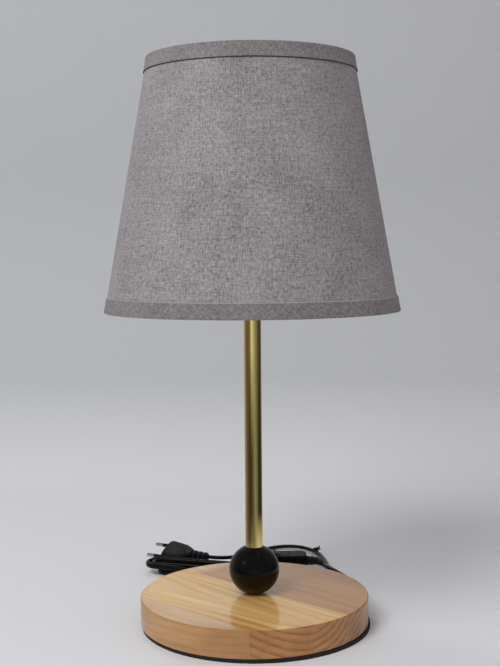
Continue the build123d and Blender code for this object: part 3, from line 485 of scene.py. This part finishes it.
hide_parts("cord_tie")

# %% [markdown]
# ## The pieces on the cord
#
# The switch and the plug's pins are rigid pieces of the imported model, and they lie on the cord, as do the
# moulded plug, the switch's sleeve and the tie. Here they are gathered in one list.

# %% What the cord carries
nodes_on_cord = [
    "switch_base", "switch_cover", "switch_rocker", "rocker_pin", "switch_screws", "switch_terminals",
    "plug_pins", "pin_sleeves",
]
on_cord = [moulded_plug, switch_sleeve, tie_strip] + tie_ends
on_cord += [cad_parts[name] for name in nodes_on_cord]
print("the cord carries", len(on_cord), "pieces")

# %% [markdown]
# ## The shade's cloth
#
# The shade is a straight cone of linen stretched on a stiff lining. Its surface is the
# simplest of all: the radius falls evenly with the height. Its map counts real metres
# round the cone and up its side, so that threads keep their true size, and the map's
# seam lies at the back, where the cloth overlaps itself and is glued.

# %% The linen cone
shade_bottom, shade_top = 0.276, 0.491
bottom_radius, top_radius = 0.1276, 0.0889
trim_width = 0.013
cloth_front, cloth_back = 0.00105, 0.00195
ring_points = 256


def shade_radius(height):
    """Outer radius at a height: a straight line between the two rims."""
    share = (height - shade_bottom) / (shade_top - shade_bottom)
    return bottom_radius + share * (top_radius - bottom_radius)


def turned(name, radii, heights, waver=0.0):
    """A closed profile carried round the lamp's axis. The map's first number is the
    angle times the shade's mean radius and the second the distance along the profile. A
    waver moves each point outwards by a sum of three slow sine waves."""
    angle = np.arange(ring_points) * 2 * pi / ring_points + pi / 2
    drift = np.sin(7 * angle + 0.6) + 0.7 * np.sin(17 * angle + 2.0) + 0.5 * np.sin(31 * angle + 4.0)
    radius = radii[:, None] + waver * drift[None, :]
    level = np.repeat(heights[:, None], ring_points, axis=1)
    grid = np.stack([radius * np.cos(angle), radius * np.sin(angle), level], axis=2)
    profile = np.stack([radii, heights], axis=1)
    travel = arc_lengths(np.concatenate([profile, profile[:1]]))
    turns = np.arange(ring_points + 1) / ring_points * 2 * pi * (bottom_radius + top_radius) / 2
    uv = np.stack(np.meshgrid(travel, turns, indexing="ij")[::-1], axis=2)
    return make_piece(name, grid, wrap_rows=True, uv=uv)


# The cloth stops just short of both rims, under the bindings
cloth_low, cloth_high = shade_bottom + cloth_front, shade_top - cloth_front
rising = np.linspace(cloth_low, cloth_high, 40)
cloth_heights = np.r_[rising, rising[::-1]]
cloth_depths = np.repeat([cloth_front, cloth_back], len(rising))
shade_linen = turned("shade_linen", shade_radius(cloth_heights) - cloth_depths, cloth_heights)
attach(shade_linen, "shade")
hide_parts("shade_cloth")

# %% [markdown]
# ## The bindings
#
# A strip of the same linen, cut on the bias, is folded over each rim. Its lower or
# upper edge is turned under, which leaves a soft step about a millimetre high. The
# profile runs up the outside with a rounded fold, over the rim and a little way down
# the inside, and a slow waver keeps it from looking machined.

# %% The bindings
wire_room = 0.00595
fold_waver = 0.00004
# Steps from the fold up the outside, then how deep each lies under the shade's outline
fold_steps = np.array([0.0, 0.0002, 0.0006, 0.0013, 0.0030, 0.0055, 0.0080, 0.0105])
fold_depths = [0.00085, 0.00030, 0.00004, 0.0, 0.00012, 0.0002, 0.00014, 0.00004]
rim_steps, rim_depths = np.array([0.0007, 0.0002, 0.0]), [0.00002, 0.00015, 0.0006]
inner_depths = [wire_room - 0.0002, wire_room + 0.00035, wire_room + 0.0005, wire_room + 0.0005]
back_depths = [wire_room - 0.0005, wire_room - 0.0005, 0.00100, 0.00100]


def binding(name, rim, fold, inner_length):
    """Closed profile of a folded strip: fold is the outer edge's height, rim the
    shade's end, and the inner leg goes inner_length back from the rim."""
    sign = 1 if rim > fold else -1
    inner_steps = np.array([0.0, 0.0003, 0.0010, inner_length])
    back_steps = np.array([inner_length, 0.00102, 0.00102])
    from_rim = np.r_[rim_steps, inner_steps, back_steps]
    heights = np.r_[fold + sign * fold_steps, rim - sign * from_rim, fold]
    radii = shade_radius(heights) - np.r_[fold_depths, rim_depths, inner_depths, back_depths]
    return turned(name, radii, heights, waver=fold_waver)


top_binding = binding("top_binding", shade_top, shade_top - trim_width, 0.009)
bottom_binding = binding("bottom_binding", shade_bottom, shade_bottom + trim_width, 0.0016)
for piece, node in ((top_binding, "shade_trim_top"), (bottom_binding, "shade_trim_bottom")):
    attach(piece, "shade")
    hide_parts(node)

# %% [markdown]
# ## Writing materials as arithmetic
#
# A material's pattern is a formula over places on the surface. The small classes below
# let it be written as one: a wire stands for a socket, and adding or multiplying wires
# adds the Math nodes. Every other node comes from one method.

# %% Wires and finishes


class Wire:
    """A socket that carries a value. Arithmetic on it adds Math nodes."""

    def __init__(self, finish, socket):
        self.finish = finish
        self.socket = socket

    def maths(self, operation, first, second=0.0):
        return self.finish.node("ShaderNodeMath", {0: first, 1: second}, operation=operation)

    def __add__(self, other):
        return self.maths("ADD", self, other)

    __radd__ = __add__

    def __mul__(self, other):
        return self.maths("MULTIPLY", self, other)

    __rmul__ = __mul__

    def __sub__(self, other):
        return self.maths("SUBTRACT", self, other)

    def __rsub__(self, other):
        return self.maths("SUBTRACT", other, self)

    def __truediv__(self, other):
        return self.maths("DIVIDE", self, other)

    def __pow__(self, other):
        return self.maths("POWER", self, other)

    def sine(self):
        return self.maths("SINE", self)

    def floor(self):
        return self.maths("FLOOR", self)

    def magnitude(self):
        return self.maths("ABSOLUTE", self)

    def above(self, limit):
        return self.maths("GREATER_THAN", self, limit)

    def root(self):
        return self.maths("SQRT", self)


class Finish:
    """A material in the making."""

    def __init__(self, name, constants):
        self.material = bpy.data.materials.new(name)
        self.material.use_nodes = True
        self.tree = self.material.node_tree
        self.shader = self.tree.nodes["Principled BSDF"]
        for socket, value in constants.items():
            self.shader.inputs[socket].default_value = value

    def node(self, kind, inputs=(), out=0, stops=None, **settings):
        """Adds a node: first its settings and a ramp's stops, then the values or wires
        of its sockets. The result is the wire from one of its outputs."""
        made = self.tree.nodes.new(kind)
        for name, value in settings.items():
            setattr(made, name, value)
        if stops is not None:
            elements = made.color_ramp.elements
            while len(elements) < len(stops):
                elements.new(0.5)
            for element, (position, colour) in zip(elements, stops):
                element.position = position
                element.color = colour
        for name, value in dict(inputs).items():
            if isinstance(value, Wire):
                self.tree.links.new(value.socket, made.inputs[name])
            else:
                made.inputs[name].default_value = value
        return Wire(self, made.outputs[out])

    def place(self, source="Object", turn=(0, 0, 0), scale=(1, 1, 1)):
        """Coordinates of the surface, turned and scaled."""
        here = self.node("ShaderNodeTexCoord", out=source)
        return self.node("ShaderNodeMapping", {"Vector": here, "Rotation": turn, "Scale": scale})

    def parts(self, vector):
        """The three numbers of a vector."""
        split = self.node("ShaderNodeSeparateXYZ", {"Vector": vector}).socket.node
        return [Wire(self, split.outputs[index]) for index in range(3)]

    def join(self, x, y, z):
        return self.node("ShaderNodeCombineXYZ", {"X": x, "Y": y, "Z": z})

    def noise(self, vector, scale, detail):
        """Soft random values from 0 to 1, where scale counts blotches to the metre."""
        return self.node("ShaderNodeTexNoise", {"Vector": vector, "Scale": scale, "Detail": detail})

    def dice(self, x, y):
        """One random number for each pair of whole numbers."""
        return self.node("ShaderNodeTexWhiteNoise", {"Vector": self.join(x, y, 0.0)}, noise_dimensions="3D")

    def blend(self, factor, first, second):
        """A colour between two."""
        return self.node("ShaderNodeMix", {0: factor, 6: first, 7: second}, out=2, data_type="RGBA")

    def ramp(self, value, stops):
        return self.node("ShaderNodeValToRGB", {"Fac": value}, stops=stops)

    def stretch(self, value, low, high, to_low, to_high):
        """A value moved from one range to another, without leaving it."""
        ranges = {"From Min": low, "From Max": high, "To Min": to_low, "To Max": to_high}
        return self.node("ShaderNodeMapRange", {"Value": value, **ranges})

    def give(self, socket, wire):
        self.tree.links.new(wire.socket, self.shader.inputs[socket])

    def bump(self, height, distance, strength):
        """Relief from a height between 0 and 1, times a distance in metres."""
        relief = self.node("ShaderNodeBump", {"Height": height, "Distance": distance, "Strength": strength})
        self.give("Normal", relief)


def linear(red, green, blue):
    """A screen colour, 0 to 255, as the light that it stands for: each part over 255,
    plus 0.055, over 1.055, to the power 2.4."""
    part = (np.array((red, green, blue)) / 255 + 0.055) / 1.055
    return (*np.power(part, 2.4).tolist(), 1.0)


print("finishes can be written")

# %% [markdown]
# ## Linen
#
# The cloth is woven from grey yarns that differ a little from each other, with thicker places called slubs.
# Two sets of streaks, one up and one round, stand for the two sets of yarns. Which one shows at a place
# follows the weave's over and under, and slow blotches keep a large area alive. The bindings use the same
# yarns turned by 45 degrees, and each folded edge gets a painted line: a painted shadow under the top
# binding's fold and a painted highlight along the bottom binding's fold.

# %% The linen finish
yarn_pitch = 0.00062
# Changes to the metre: of a yarn's tone and flecks along it, and of the slubs
tone_rate, fleck_rate = 240.0, 90.0
slub_narrow, slub_long = 900.0, 280.0
# Steps through the random field, to the next yarn and to the other set of yarns
yarn_stride, other_set = 0.37, 900.0


def linen(piece, name, dark, light, turn, painted_edge_shading=None):
    """Linen with yarns along and across the piece's map, turned by an angle. painted_edge_shading, where
    given, is a colour painted along a binding's folded edge for its shadow or its highlight, with the
    heights between which it fades."""
    gloss = {"Roughness": 0.92, "Specular IOR Level": 0.25, "Sheen Weight": 0.15, "Sheen Roughness": 0.6}
    cloth = Finish(name, gloss)
    across, along, _ = cloth.parts(cloth.place("UV", turn=(0, 0, turn)))
    warp, weft = across / yarn_pitch, along / yarn_pitch
    over = (warp.floor() + weft.floor()) * 0.5
    over = (over - over.floor()).above(0.25)
    warp_tone = cloth.noise(cloth.join(warp.floor() * yarn_stride, along * tone_rate, 0.0), 1.0, 3.0)
    weft_tone = cloth.noise(cloth.join(across * tone_rate, weft.floor() * yarn_stride, 5.0), 1.0, 3.0)
    warp_flecks = cloth.dice(warp.floor(), (along * fleck_rate).floor())
    weft_flecks = cloth.dice((across * fleck_rate).floor(), weft.floor() + other_set)
    upright = warp_tone * 0.75 + warp_flecks * 0.25
    level = weft_tone * 0.75 + weft_flecks * 0.25
    tone = upright * over + level * (1 - over)
    slubs = cloth.noise(cloth.join(across * slub_narrow, along * slub_long, 2.0), 1.0, 2.0)
    level_slubs = cloth.noise(cloth.join(across * slub_long, along * slub_narrow, 7.0), 1.0, 2.0)
    blotch = cloth.noise(cloth.place("Object"), 28.0, 3.0)
    tone = tone * 0.40 + slubs * 0.30 + level_slubs * 0.22 + blotch * 0.12
    colour = cloth.blend(cloth.stretch(tone, 0.39, 0.65, 0.0, 1.0), linear(*dark), linear(*light))
    # A binding's fold gets a painted line: painted shadow under the top fold, painted highlight along the
    # bottom fold
    if painted_edge_shading:
        low, high, painted_edge_colour = painted_edge_shading
        _, height, _ = cloth.parts(cloth.place("UV"))
        colour = cloth.blend(cloth.stretch(height, low, high, 1.0, 0.0), colour, linear(*painted_edge_colour))
    cloth.give("Base Color", colour)
    round_warp = (warp * pi).sine().magnitude()
    round_weft = (weft * pi).sine().magnitude()
    cloth.bump(round_warp * over + round_weft * (1 - over) + slubs * 0.8, 0.00012, 0.7)
    piece.data.materials.append(cloth.material)
    print(name, "built from", len(cloth.tree.nodes), "nodes")


# The top binding's fold gets a painted shadow line, and the bottom binding's fold a painted highlight line
bias, top_fold_painted_shadow, bottom_fold_painted_highlight = pi / 4, (0.0009, 0.0012, (22, 19, 20)), (0.0006, 0.0010, (168, 162, 163))
linen(shade_linen, "linen", (98, 92, 94), (177, 171, 173), 0.0)
linen(top_binding, "linen_top_binding", (92, 86, 87), (156, 149, 150), bias, top_fold_painted_shadow)
linen(bottom_binding, "linen_bottom_binding", (84, 78, 79), (150, 144, 145), bias, bottom_fold_painted_highlight)

# %% [markdown]
# ## Wood
#
# The base is cut from three boards glued side by side, each from another place in the
# tree. A tree's rings are cylinders round its heart, so the pattern is worked out in the
# solid: the distance from each board's own heart line gives rings, which show as long
# streaks on the flat top and as arcs on the end grain of the rim. The end grain drinks
# more lacquer and is darker. Short pores and a satin lacquer finish it.

# %% The three boards
wood = Finish("lacquered_wood", {"Coat Roughness": 0.12, "Coat IOR": 1.6, "Specular IOR Level": 0.3})
grain_turn = radians(44)
first_seam, second_seam = -0.0749, 0.008
along_grain, across_grain, depth = wood.parts(wood.place("Object", turn=(0, 0, grain_turn)))
in_middle, in_right = across_grain.above(first_seam), across_grain.above(second_seam)
own = in_middle * 3.0 + in_right * 5.0


def grain(along_rate, across_rate, detail, shift=own):
    """Noise drawn out along the grain, with so many blotches to the metre along it and
    across it. The shift takes each board from another place."""
    place = wood.join(along_grain * along_rate, across_grain * across_rate, depth * across_rate + shift)
    return wood.noise(place, 1.0, detail)


def by_board(left, middle, right):
    """The colour of the board at hand."""
    return wood.blend(in_right, wood.blend(in_middle, left, middle), right)


wander, ripple = grain(5.0, 16.0, 3.0), grain(20.0, 110.0, 3.0)
streaks, figure = grain(7.0, 190.0, 4.0), grain(3.5, 48.0, 2.5)
tone = wood.stretch(figure * 0.6 + streaks * 0.4, 0.34, 0.66, 0.0, 1.0)
print("seams at", first_seam, "and", second_seam, "m")

# %% The tree's rings
rings_per_metre, heart_slope = 165.0, 0.05
heart_across = in_middle * 0.043 + in_right * 0.092 - 0.080
heart_height = 0.120 - in_middle * 0.0625 - in_right * 0.100
heart_drop = depth - heart_height - along_grain * heart_slope
from_heart = ((across_grain - heart_across) ** 2 + heart_drop ** 2).root()
rings = from_heart * rings_per_metre + wander * 1.5 + ripple * 0.25
ring_share = rings - rings.floor()
late_wood = wood.stretch(ring_share, 0.45, 0.92, 0.0, 1.0) * wood.stretch(ring_share, 0.94, 1.0, 1.0, 0.0)
print("a ring every", round(1000 / rings_per_metre, 1), "mm")

# %% The top's colours
left_top = wood.blend(tone, linear(210, 168, 122), linear(232, 194, 146))
golden = [(0.0, linear(204, 144, 64)), (0.35, linear(228, 178, 100)), (1.0, linear(244, 204, 138))]
middle_top = wood.ramp(tone, golden)
right_top = wood.blend(tone, linear(158, 104, 52), linear(192, 140, 82))
# The right board, at the rear, turns pale towards its left end
pale_end = wood.stretch(along_grain + wander * 0.03, -0.074, -0.058, 0.85, 0.0)
right_top = wood.blend(pale_end, right_top, left_top)
ring_strength = late_wood * wood.stretch(wander, 0.38, 0.62, 0.04, 0.36)
top_colour = wood.blend(ring_strength, by_board(left_top, middle_top, right_top), linear(158, 102, 50))
print("top coloured after", len(wood.tree.nodes), "nodes")

# %% The rim's colours
left_rim = wood.blend(tone, linear(172, 127, 80), linear(198, 154, 105))
left_rim = wood.blend(wood.stretch(along_grain, 0.0, 0.062, 0.0, 0.6), left_rim, linear(158, 110, 62))
middle_rim = wood.blend(tone, linear(166, 112, 62), linear(190, 138, 84))
right_rim = wood.blend(tone, linear(150, 100, 56), linear(178, 126, 76))
rim_rings = late_wood * (in_middle * 0.48 + 0.18) * wood.stretch(ripple, 0.3, 0.6, 0.5, 1.0)
rim_colour = wood.blend(rim_rings, by_board(left_rim, middle_rim, right_rim), linear(104, 62, 34))
out_from_middle = (along_grain ** 2 + across_grain ** 2).root()
# The rounded edge between top and rim
edge_inside, edge_outside = 0.0986, 0.0994
rim = wood.stretch(out_from_middle, edge_inside, edge_outside, 0.0, 1.0)
print("rim coloured after", len(wood.tree.nodes), "nodes")

# %% Pores and lacquer
pores = wood.stretch(grain(110.0, 2000.0, 1.0, shift=0.0), 0.64, 0.74, 0.0, 0.30)
sawn = wood.blend(rim, top_colour, rim_colour)
wood.give("Base Color", wood.blend(pores, sawn, linear(112, 72, 42)))
wood.give("Roughness", wood.stretch(streaks, 0.3, 0.7, 0.36, 0.50))
wood.give("Coat Weight", 1 - rim * 0.6)
wood.bump(1 - pores * 1.2 - late_wood * 0.15, 0.00005, 0.5)
print("wood built from", len(wood.tree.nodes), "nodes")

# %% [markdown]
# ## Metals, plastics and the rest
#
# The remaining finishes differ only in a few numbers. Polished metal is all reflection,
# so it gets a faint drawing grain along its length. Moulded plastic has a fine spark
# texture from its mould. Each keeps a little variation in colour and roughness, because
# a perfectly even surface reads as a drawing.

# %% Polished brass
brass = Finish("polished_brass", {"Metallic": 1.0, "Anisotropic": 0.2})
drawn = brass.noise(brass.place("Object", scale=(1.0, 1.0, 0.02)), 1800.0, 2.0)
handled = brass.noise(brass.place("Object"), 30.0, 4.0)
brass.give("Base Color", brass.blend(handled, linear(214, 186, 120), linear(232, 206, 142)))
brass.give("Roughness", brass.stretch(handled + drawn * 0.3, 0.4, 0.9, 0.03, 0.07))
brass.bump(drawn, 0.000002, 0.3)
print("brass built from", len(brass.tree.nodes), "nodes")

# %% Plain finishes


def plain_finish(name, dark, light, roughness, grain_size, relief, constants=()):
    """Slow blotches between two near screen colours, roughness that follows them, and a
    fine relief with the given number of grains to the metre."""
    finish = Finish(name, {"Roughness": roughness[0], **dict(constants)})
    here = finish.place("Object")
    blotch = finish.noise(here, 60.0, 3.0)
    grains = finish.noise(here, grain_size, 2.0)
    tone = blotch * 0.6 + grains * 0.4
    finish.give("Base Color", finish.blend(tone, linear(*dark), linear(*light)))
    finish.give("Roughness", finish.stretch(blotch, 0.3, 0.7, *roughness))
    finish.bump(grains, relief, 0.5)
    return finish.material


def dull(level):
    """A weak mirror, for a black plastic."""
    return {"Specular IOR Level": level}


metal = {"Metallic": 1.0}
glaze = {"Coat Weight": 0.5, "Coat Roughness": 0.08}
milky = {"Subsurface Weight": 0.4, "Subsurface Radius": (0.004, 0.004, 0.004), "Subsurface Scale": 0.5}
finish_rows = [
    ("gloss_black", (5, 5, 4), (9, 8, 7), (0.18, 0.25), 400.0, 0.000004, dull(0.20)),
    ("black_foam", (24, 20, 17), (46, 40, 35), (0.85, 0.95), 1600.0, 0.0002),
    ("black_sheath", (8, 8, 9), (15, 15, 16), (0.15, 0.22), 900.0, 0.000003, dull(0.14)),
    ("moulded_black", (9, 9, 10), (18, 18, 20), (0.36, 0.48), 2600.0, 0.00003, dull(0.25)),
    ("switch_black", (4, 4, 4), (9, 9, 9), (0.38, 0.50), 2600.0, 0.00002, dull(0.12)),
    ("holder_black", (16, 16, 16), (27, 27, 27), (0.40, 0.52), 2600.0, 0.00003),
    ("zinc_plate", (150, 152, 152), (186, 188, 186), (0.28, 0.42), 1500.0, 0.00001, metal),
    ("nickel_plate", (196, 194, 188), (220, 218, 212), (0.16, 0.26), 1500.0, 0.000006, metal),
    ("strip_brass", (190, 160, 92), (214, 186, 118), (0.26, 0.38), 1500.0, 0.00001, metal),
    ("white_coating", (214, 213, 208), (230, 229, 225), (0.35, 0.5), 700.0, 0.00003),
    ("porcelain", (226, 223, 214), (238, 235, 228), (0.10, 0.2), 300.0, 0.00002, glaze),
    ("bulb_plastic", (228, 227, 222), (240, 239, 235), (0.42, 0.52), 2200.0, 0.00002),
    ("frosted_diffuser", (236, 235, 230), (246, 245, 241), (0.45, 0.55), 2000.0, 0.00002, milky),
    ("white_lining", (222, 219, 212), (236, 234, 228), (0.5, 0.62), 500.0, 0.00003),
    ("circuit_board", (222, 226, 220), (238, 240, 236), (0.35, 0.5), 900.0, 0.00002),
    ("core_insulation", (96, 60, 40), (118, 76, 52), (0.4, 0.5), 900.0, 0.00002),
]
finishes = {row[0]: plain_finish(*row) for row in finish_rows}
finishes.update(wood=wood.material, brass=brass.material)
print(len(finishes), "finishes")

# %% Every rigid piece gets its finish
nodes_with = {
    "wood": ["base_disc"],
    "brass": ["stem_tube", "tube_cap"],
    "gloss_black": ["ball"],
    "black_foam": ["base_pad"],
    "black_sheath": ["inner_cord"],
    "core_insulation": ["wire_cores"],
    "moulded_black": ["switch_rocker", "pin_sleeves"],
    "switch_black": ["switch_base", "switch_cover"],
    "holder_black": [
        "cord_bush", "cord_clamp", "holder_cap", "holder_skirt", "shade_clamp_ring", "bulb_insulator",
    ],
    "zinc_plate": [
        "base_washer", "base_nut", "lamp_rod", "clamp_screws", "grub_screw", "lock_nut", "rocker_pin",
        "switch_screws",
    ],
    "nickel_plate": ["bulb_tip_contact", "bulb_cap", "plug_pins"],
    "strip_brass": [
        "terminal_screws", "screw_shell", "centre_contact", "side_contact", "switch_terminals",
    ],
    "white_coating": ["top_wire_ring", "bottom_wire_ring", "shade_fitter", "shade_spokes"],
    "porcelain": ["holder_insert"],
    "bulb_plastic": ["bulb_housing"],
    "frosted_diffuser": ["bulb_globe"],
    "white_lining": ["shade_liner"],
    "circuit_board": ["led_board", "driver_board"],
}
for finish_name, nodes in nodes_with.items():
    for node in nodes:
        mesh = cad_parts[node].data
        mesh.materials.clear()
        mesh.materials.append(finishes[finish_name])
mains_cord.data.materials.append(finishes["black_sheath"])
for piece in (moulded_plug, switch_sleeve, tie_strip, *tie_ends):
    piece.data.materials.append(finishes["moulded_black"])
print(sum(map(len, nodes_with.values())), "rigid pieces finished")

# %% [markdown]
# ## Table, wall and light
#
# A pale sweep of paper makes both table and wall, with a soft curve between, so nothing
# competes with the lamp. A large window stands to the left and a weaker one to the
# right, two small lamps give the highlights, and the sky fills the shadows. Brass and
# lacquer show what stands round them, so their rays see a plain room of walls, windows
# and dark corners instead of the sky.

# %% The sweep
curve_start, curve_radius, reach = 0.50, 0.45, 3.0
bend = np.linspace(0, pi / 2, 24)[1:]
bend_y, bend_z = curve_start + curve_radius * np.sin(bend), curve_radius * (1 - np.cos(bend))
sweep_y = np.r_[-reach, -1.0, 0.0, curve_start, bend_y, curve_start + curve_radius]
sweep_z = np.r_[0.0, 0.0, 0.0, 0.0, bend_z, reach]
sweep_x = np.linspace(-reach, reach, 7)
y_grid, x_grid = np.meshgrid(sweep_y, sweep_x, indexing="ij")
sweep_grid = np.stack([x_grid, y_grid, np.repeat(sweep_z[:, None], len(sweep_x), axis=1)], axis=2)
paper = Finish("pale_paper", {"Roughness": 0.9, "Specular IOR Level": 0.1})
_, _, paper_height = paper.parts(paper.place("Object"))
fleck = paper.noise(paper.place("Object"), 260.0, 3.0)
wall_share = paper.stretch(paper_height, 0.0, 0.12, 0.0, 1.0)
paper_colour = paper.blend(wall_share, linear(222, 223, 226), linear(188, 190, 193))
paper.give("Base Color", paper.blend(fleck * 0.06, paper_colour, linear(230, 230, 230)))
sweep = make_piece("sweep", sweep_grid, wrap_columns=False)
sweep.data.materials.append(paper.material)

# %% Light


def window(name, place, target, width, height, power, colour=(1.0, 1.0, 1.0), mirrored=False):
    """A flat lamp of a given size that faces a target. Glossy surfaces show it only when
    mirrored is true."""
    light = bpy.data.lights.new(name, "AREA")
    light.shape = "RECTANGLE"
    light.size, light.size_y = width, height
    light.energy = power
    light.color = colour
    holder = bpy.data.objects.new(name, light)
    bpy.context.scene.collection.objects.link(holder)
    holder.visible_glossy = mirrored
    facing = (Vector(target) - Vector(place)).to_track_quat("-Z", "Y").to_matrix().to_4x4()
    holder.matrix_world = Matrix.Translation(Vector(place)) @ facing


window("window_left", (-0.98, -1.40, 1.9), (0, 0, 0.2), 1.0, 1.2, 34, (0.975, 1.0, 1.0))
window("window_right", (1.85, -0.30, 1.1), (0, 0, 0.25), 0.7, 1.2, 1.5, (1.0, 0.84, 0.84))
window("ceiling_lamp", (-0.33, 0.88, 1.65), (0, 0, 0), 0.22, 0.22, 2.5, mirrored=True)
window("room_lamp", (-1.15, -0.70, 0.92), (0, 0, 0.05), 0.10, 0.10, 0.6, mirrored=True)
print("two windows and two lamps")

# %% The room that glossy surfaces see
# Places round the lamp as shares of a turn, and how bright it is there far away, in the
# middle distance and near the table
room_places = [0.0, 0.16, 0.26, 0.36, 0.41, 0.44, 0.50, 0.55, 0.62, 0.70, 0.78, 0.88, 1.0]
room_levels = [
    [0.58, 0.46, 0.12, 0.17, 0.22, 0.80, 0.84, 0.52, 0.32, 0.14, 0.03, 0.22, 0.60],
    [0.55, 0.34, 0.13, 0.05, 0.05, 0.08, 0.15, 0.34, 0.24, 0.04, 0.02, 0.20, 0.55],
    [0.62, 0.30, 0.14, 0.08, 0.26, 0.28, 0.24, 0.36, 0.85, 1.0, 0.85, 0.66, 0.62],
]
warm, cool, cool_from, cool_to = (1.0, 0.98, 0.96), (0.84, 1.0, 0.74), 0.5, 0.7


def ramp_stops(levels):
    """A ramp's stops: each level times the warm tint, or the cool one between two
    places."""
    stops = []
    for place, level in zip(room_places, levels):
        tint = cool if cool_from < place < cool_to else warm
        stops.append((place, (*[level * part for part in tint], 1)))
    return stops


class Surroundings(Finish):
    """The same node writing for the world and for the sweep's look in reflections."""

    def __init__(self, tree):
        self.tree = tree

    def room_colour(self, direction):
        """Colour of the room in a direction: the angle round the lamp, from the camera's
        side, picks a place on a ramp of walls, windows and dark corners. What lies near
        the table has its own ramps."""
        x, y, z = self.parts(direction)
        turn_share = self.node("ShaderNodeMath", {0: x, 1: y * -1.0}, operation="ARCTAN2") / (2 * pi) + 0.5
        distance = (x ** 2 + y ** 2).root()
        far, middle, near = [self.ramp(turn_share, ramp_stops(levels)) for levels in room_levels]
        outer = self.blend(self.stretch(distance, 0.8, 2.6, 0.0, 1.0), middle, far)
        level = self.blend(self.stretch(distance, 0.22, 0.42, 0.0, 1.0), near, outer)
        return self.blend(self.stretch(z, 0.25, 0.8, 0.0, 1.0), level, (0.26, 0.27, 0.28, 1))


print(len(room_places), "places round the lamp,", len(room_levels), "distances")

# %% The sky, and the room instead of it for glossy rays
sky = bpy.data.worlds.new("room")
bpy.context.scene.world = sky
sky.use_nodes = True
room = Surroundings(sky.node_tree)
background = sky.node_tree.nodes["Background"]
background.inputs["Color"].default_value = (0.85, 0.81, 0.82, 1)
background.inputs["Strength"].default_value = 0.51
seen_room = room.room_colour(room.place("Generated", scale=(5, 5, 5)))
mirrored = room.node("ShaderNodeBackground", {"Color": seen_room, "Strength": 1.0})
glossy = room.node("ShaderNodeLightPath", out="Is Glossy Ray")
both = room.node("ShaderNodeMixShader", {0: glossy, 1: Wire(room, background.outputs[0]), 2: mirrored})
sky.node_tree.links.new(both.socket, sky.node_tree.nodes["World Output"].inputs["Surface"])
print("sky built from", len(sky.node_tree.nodes), "nodes")

# %% The sweep in reflections and from behind
edge = Surroundings(paper.tree)
from_lamp = edge.node("ShaderNodeTexCoord", out="Object")
out_x, out_y, _ = edge.parts(from_lamp)
distance = (out_x ** 2 + out_y ** 2).root()
# Close to the base the sweep starts to show the room to glossy rays
glossy_ray = edge.node("ShaderNodeLightPath", out="Is Glossy Ray")
beyond = edge.stretch(distance, 0.115, 0.30, 0.0, 1.0) * glossy_ray
shown = edge.node("ShaderNodeEmission", {"Color": edge.room_colour(from_lamp), "Strength": 1.0})
paper_shader = Wire(edge, paper.shader.outputs[0])
paper_mix = edge.node("ShaderNodeMixShader", {0: beyond, 1: paper_shader, 2: shown})
# The paper's faces point away from the lamp, so a camera that sees their front is behind
# the wall or under the table, and it looks through
camera_ray = edge.node("ShaderNodeLightPath", out="Is Camera Ray")
behind = (1 - edge.node("ShaderNodeNewGeometry", out="Backfacing")) * camera_ray
see_through = edge.node("ShaderNodeBsdfTransparent")
paper_mix = edge.node("ShaderNodeMixShader", {0: behind, 1: paper_mix, 2: see_through})
paper.tree.links.new(paper_mix.socket, paper.tree.nodes["Material Output"].inputs["Surface"])
bpy.context.scene.view_settings.view_transform = "Standard"
print("lit")
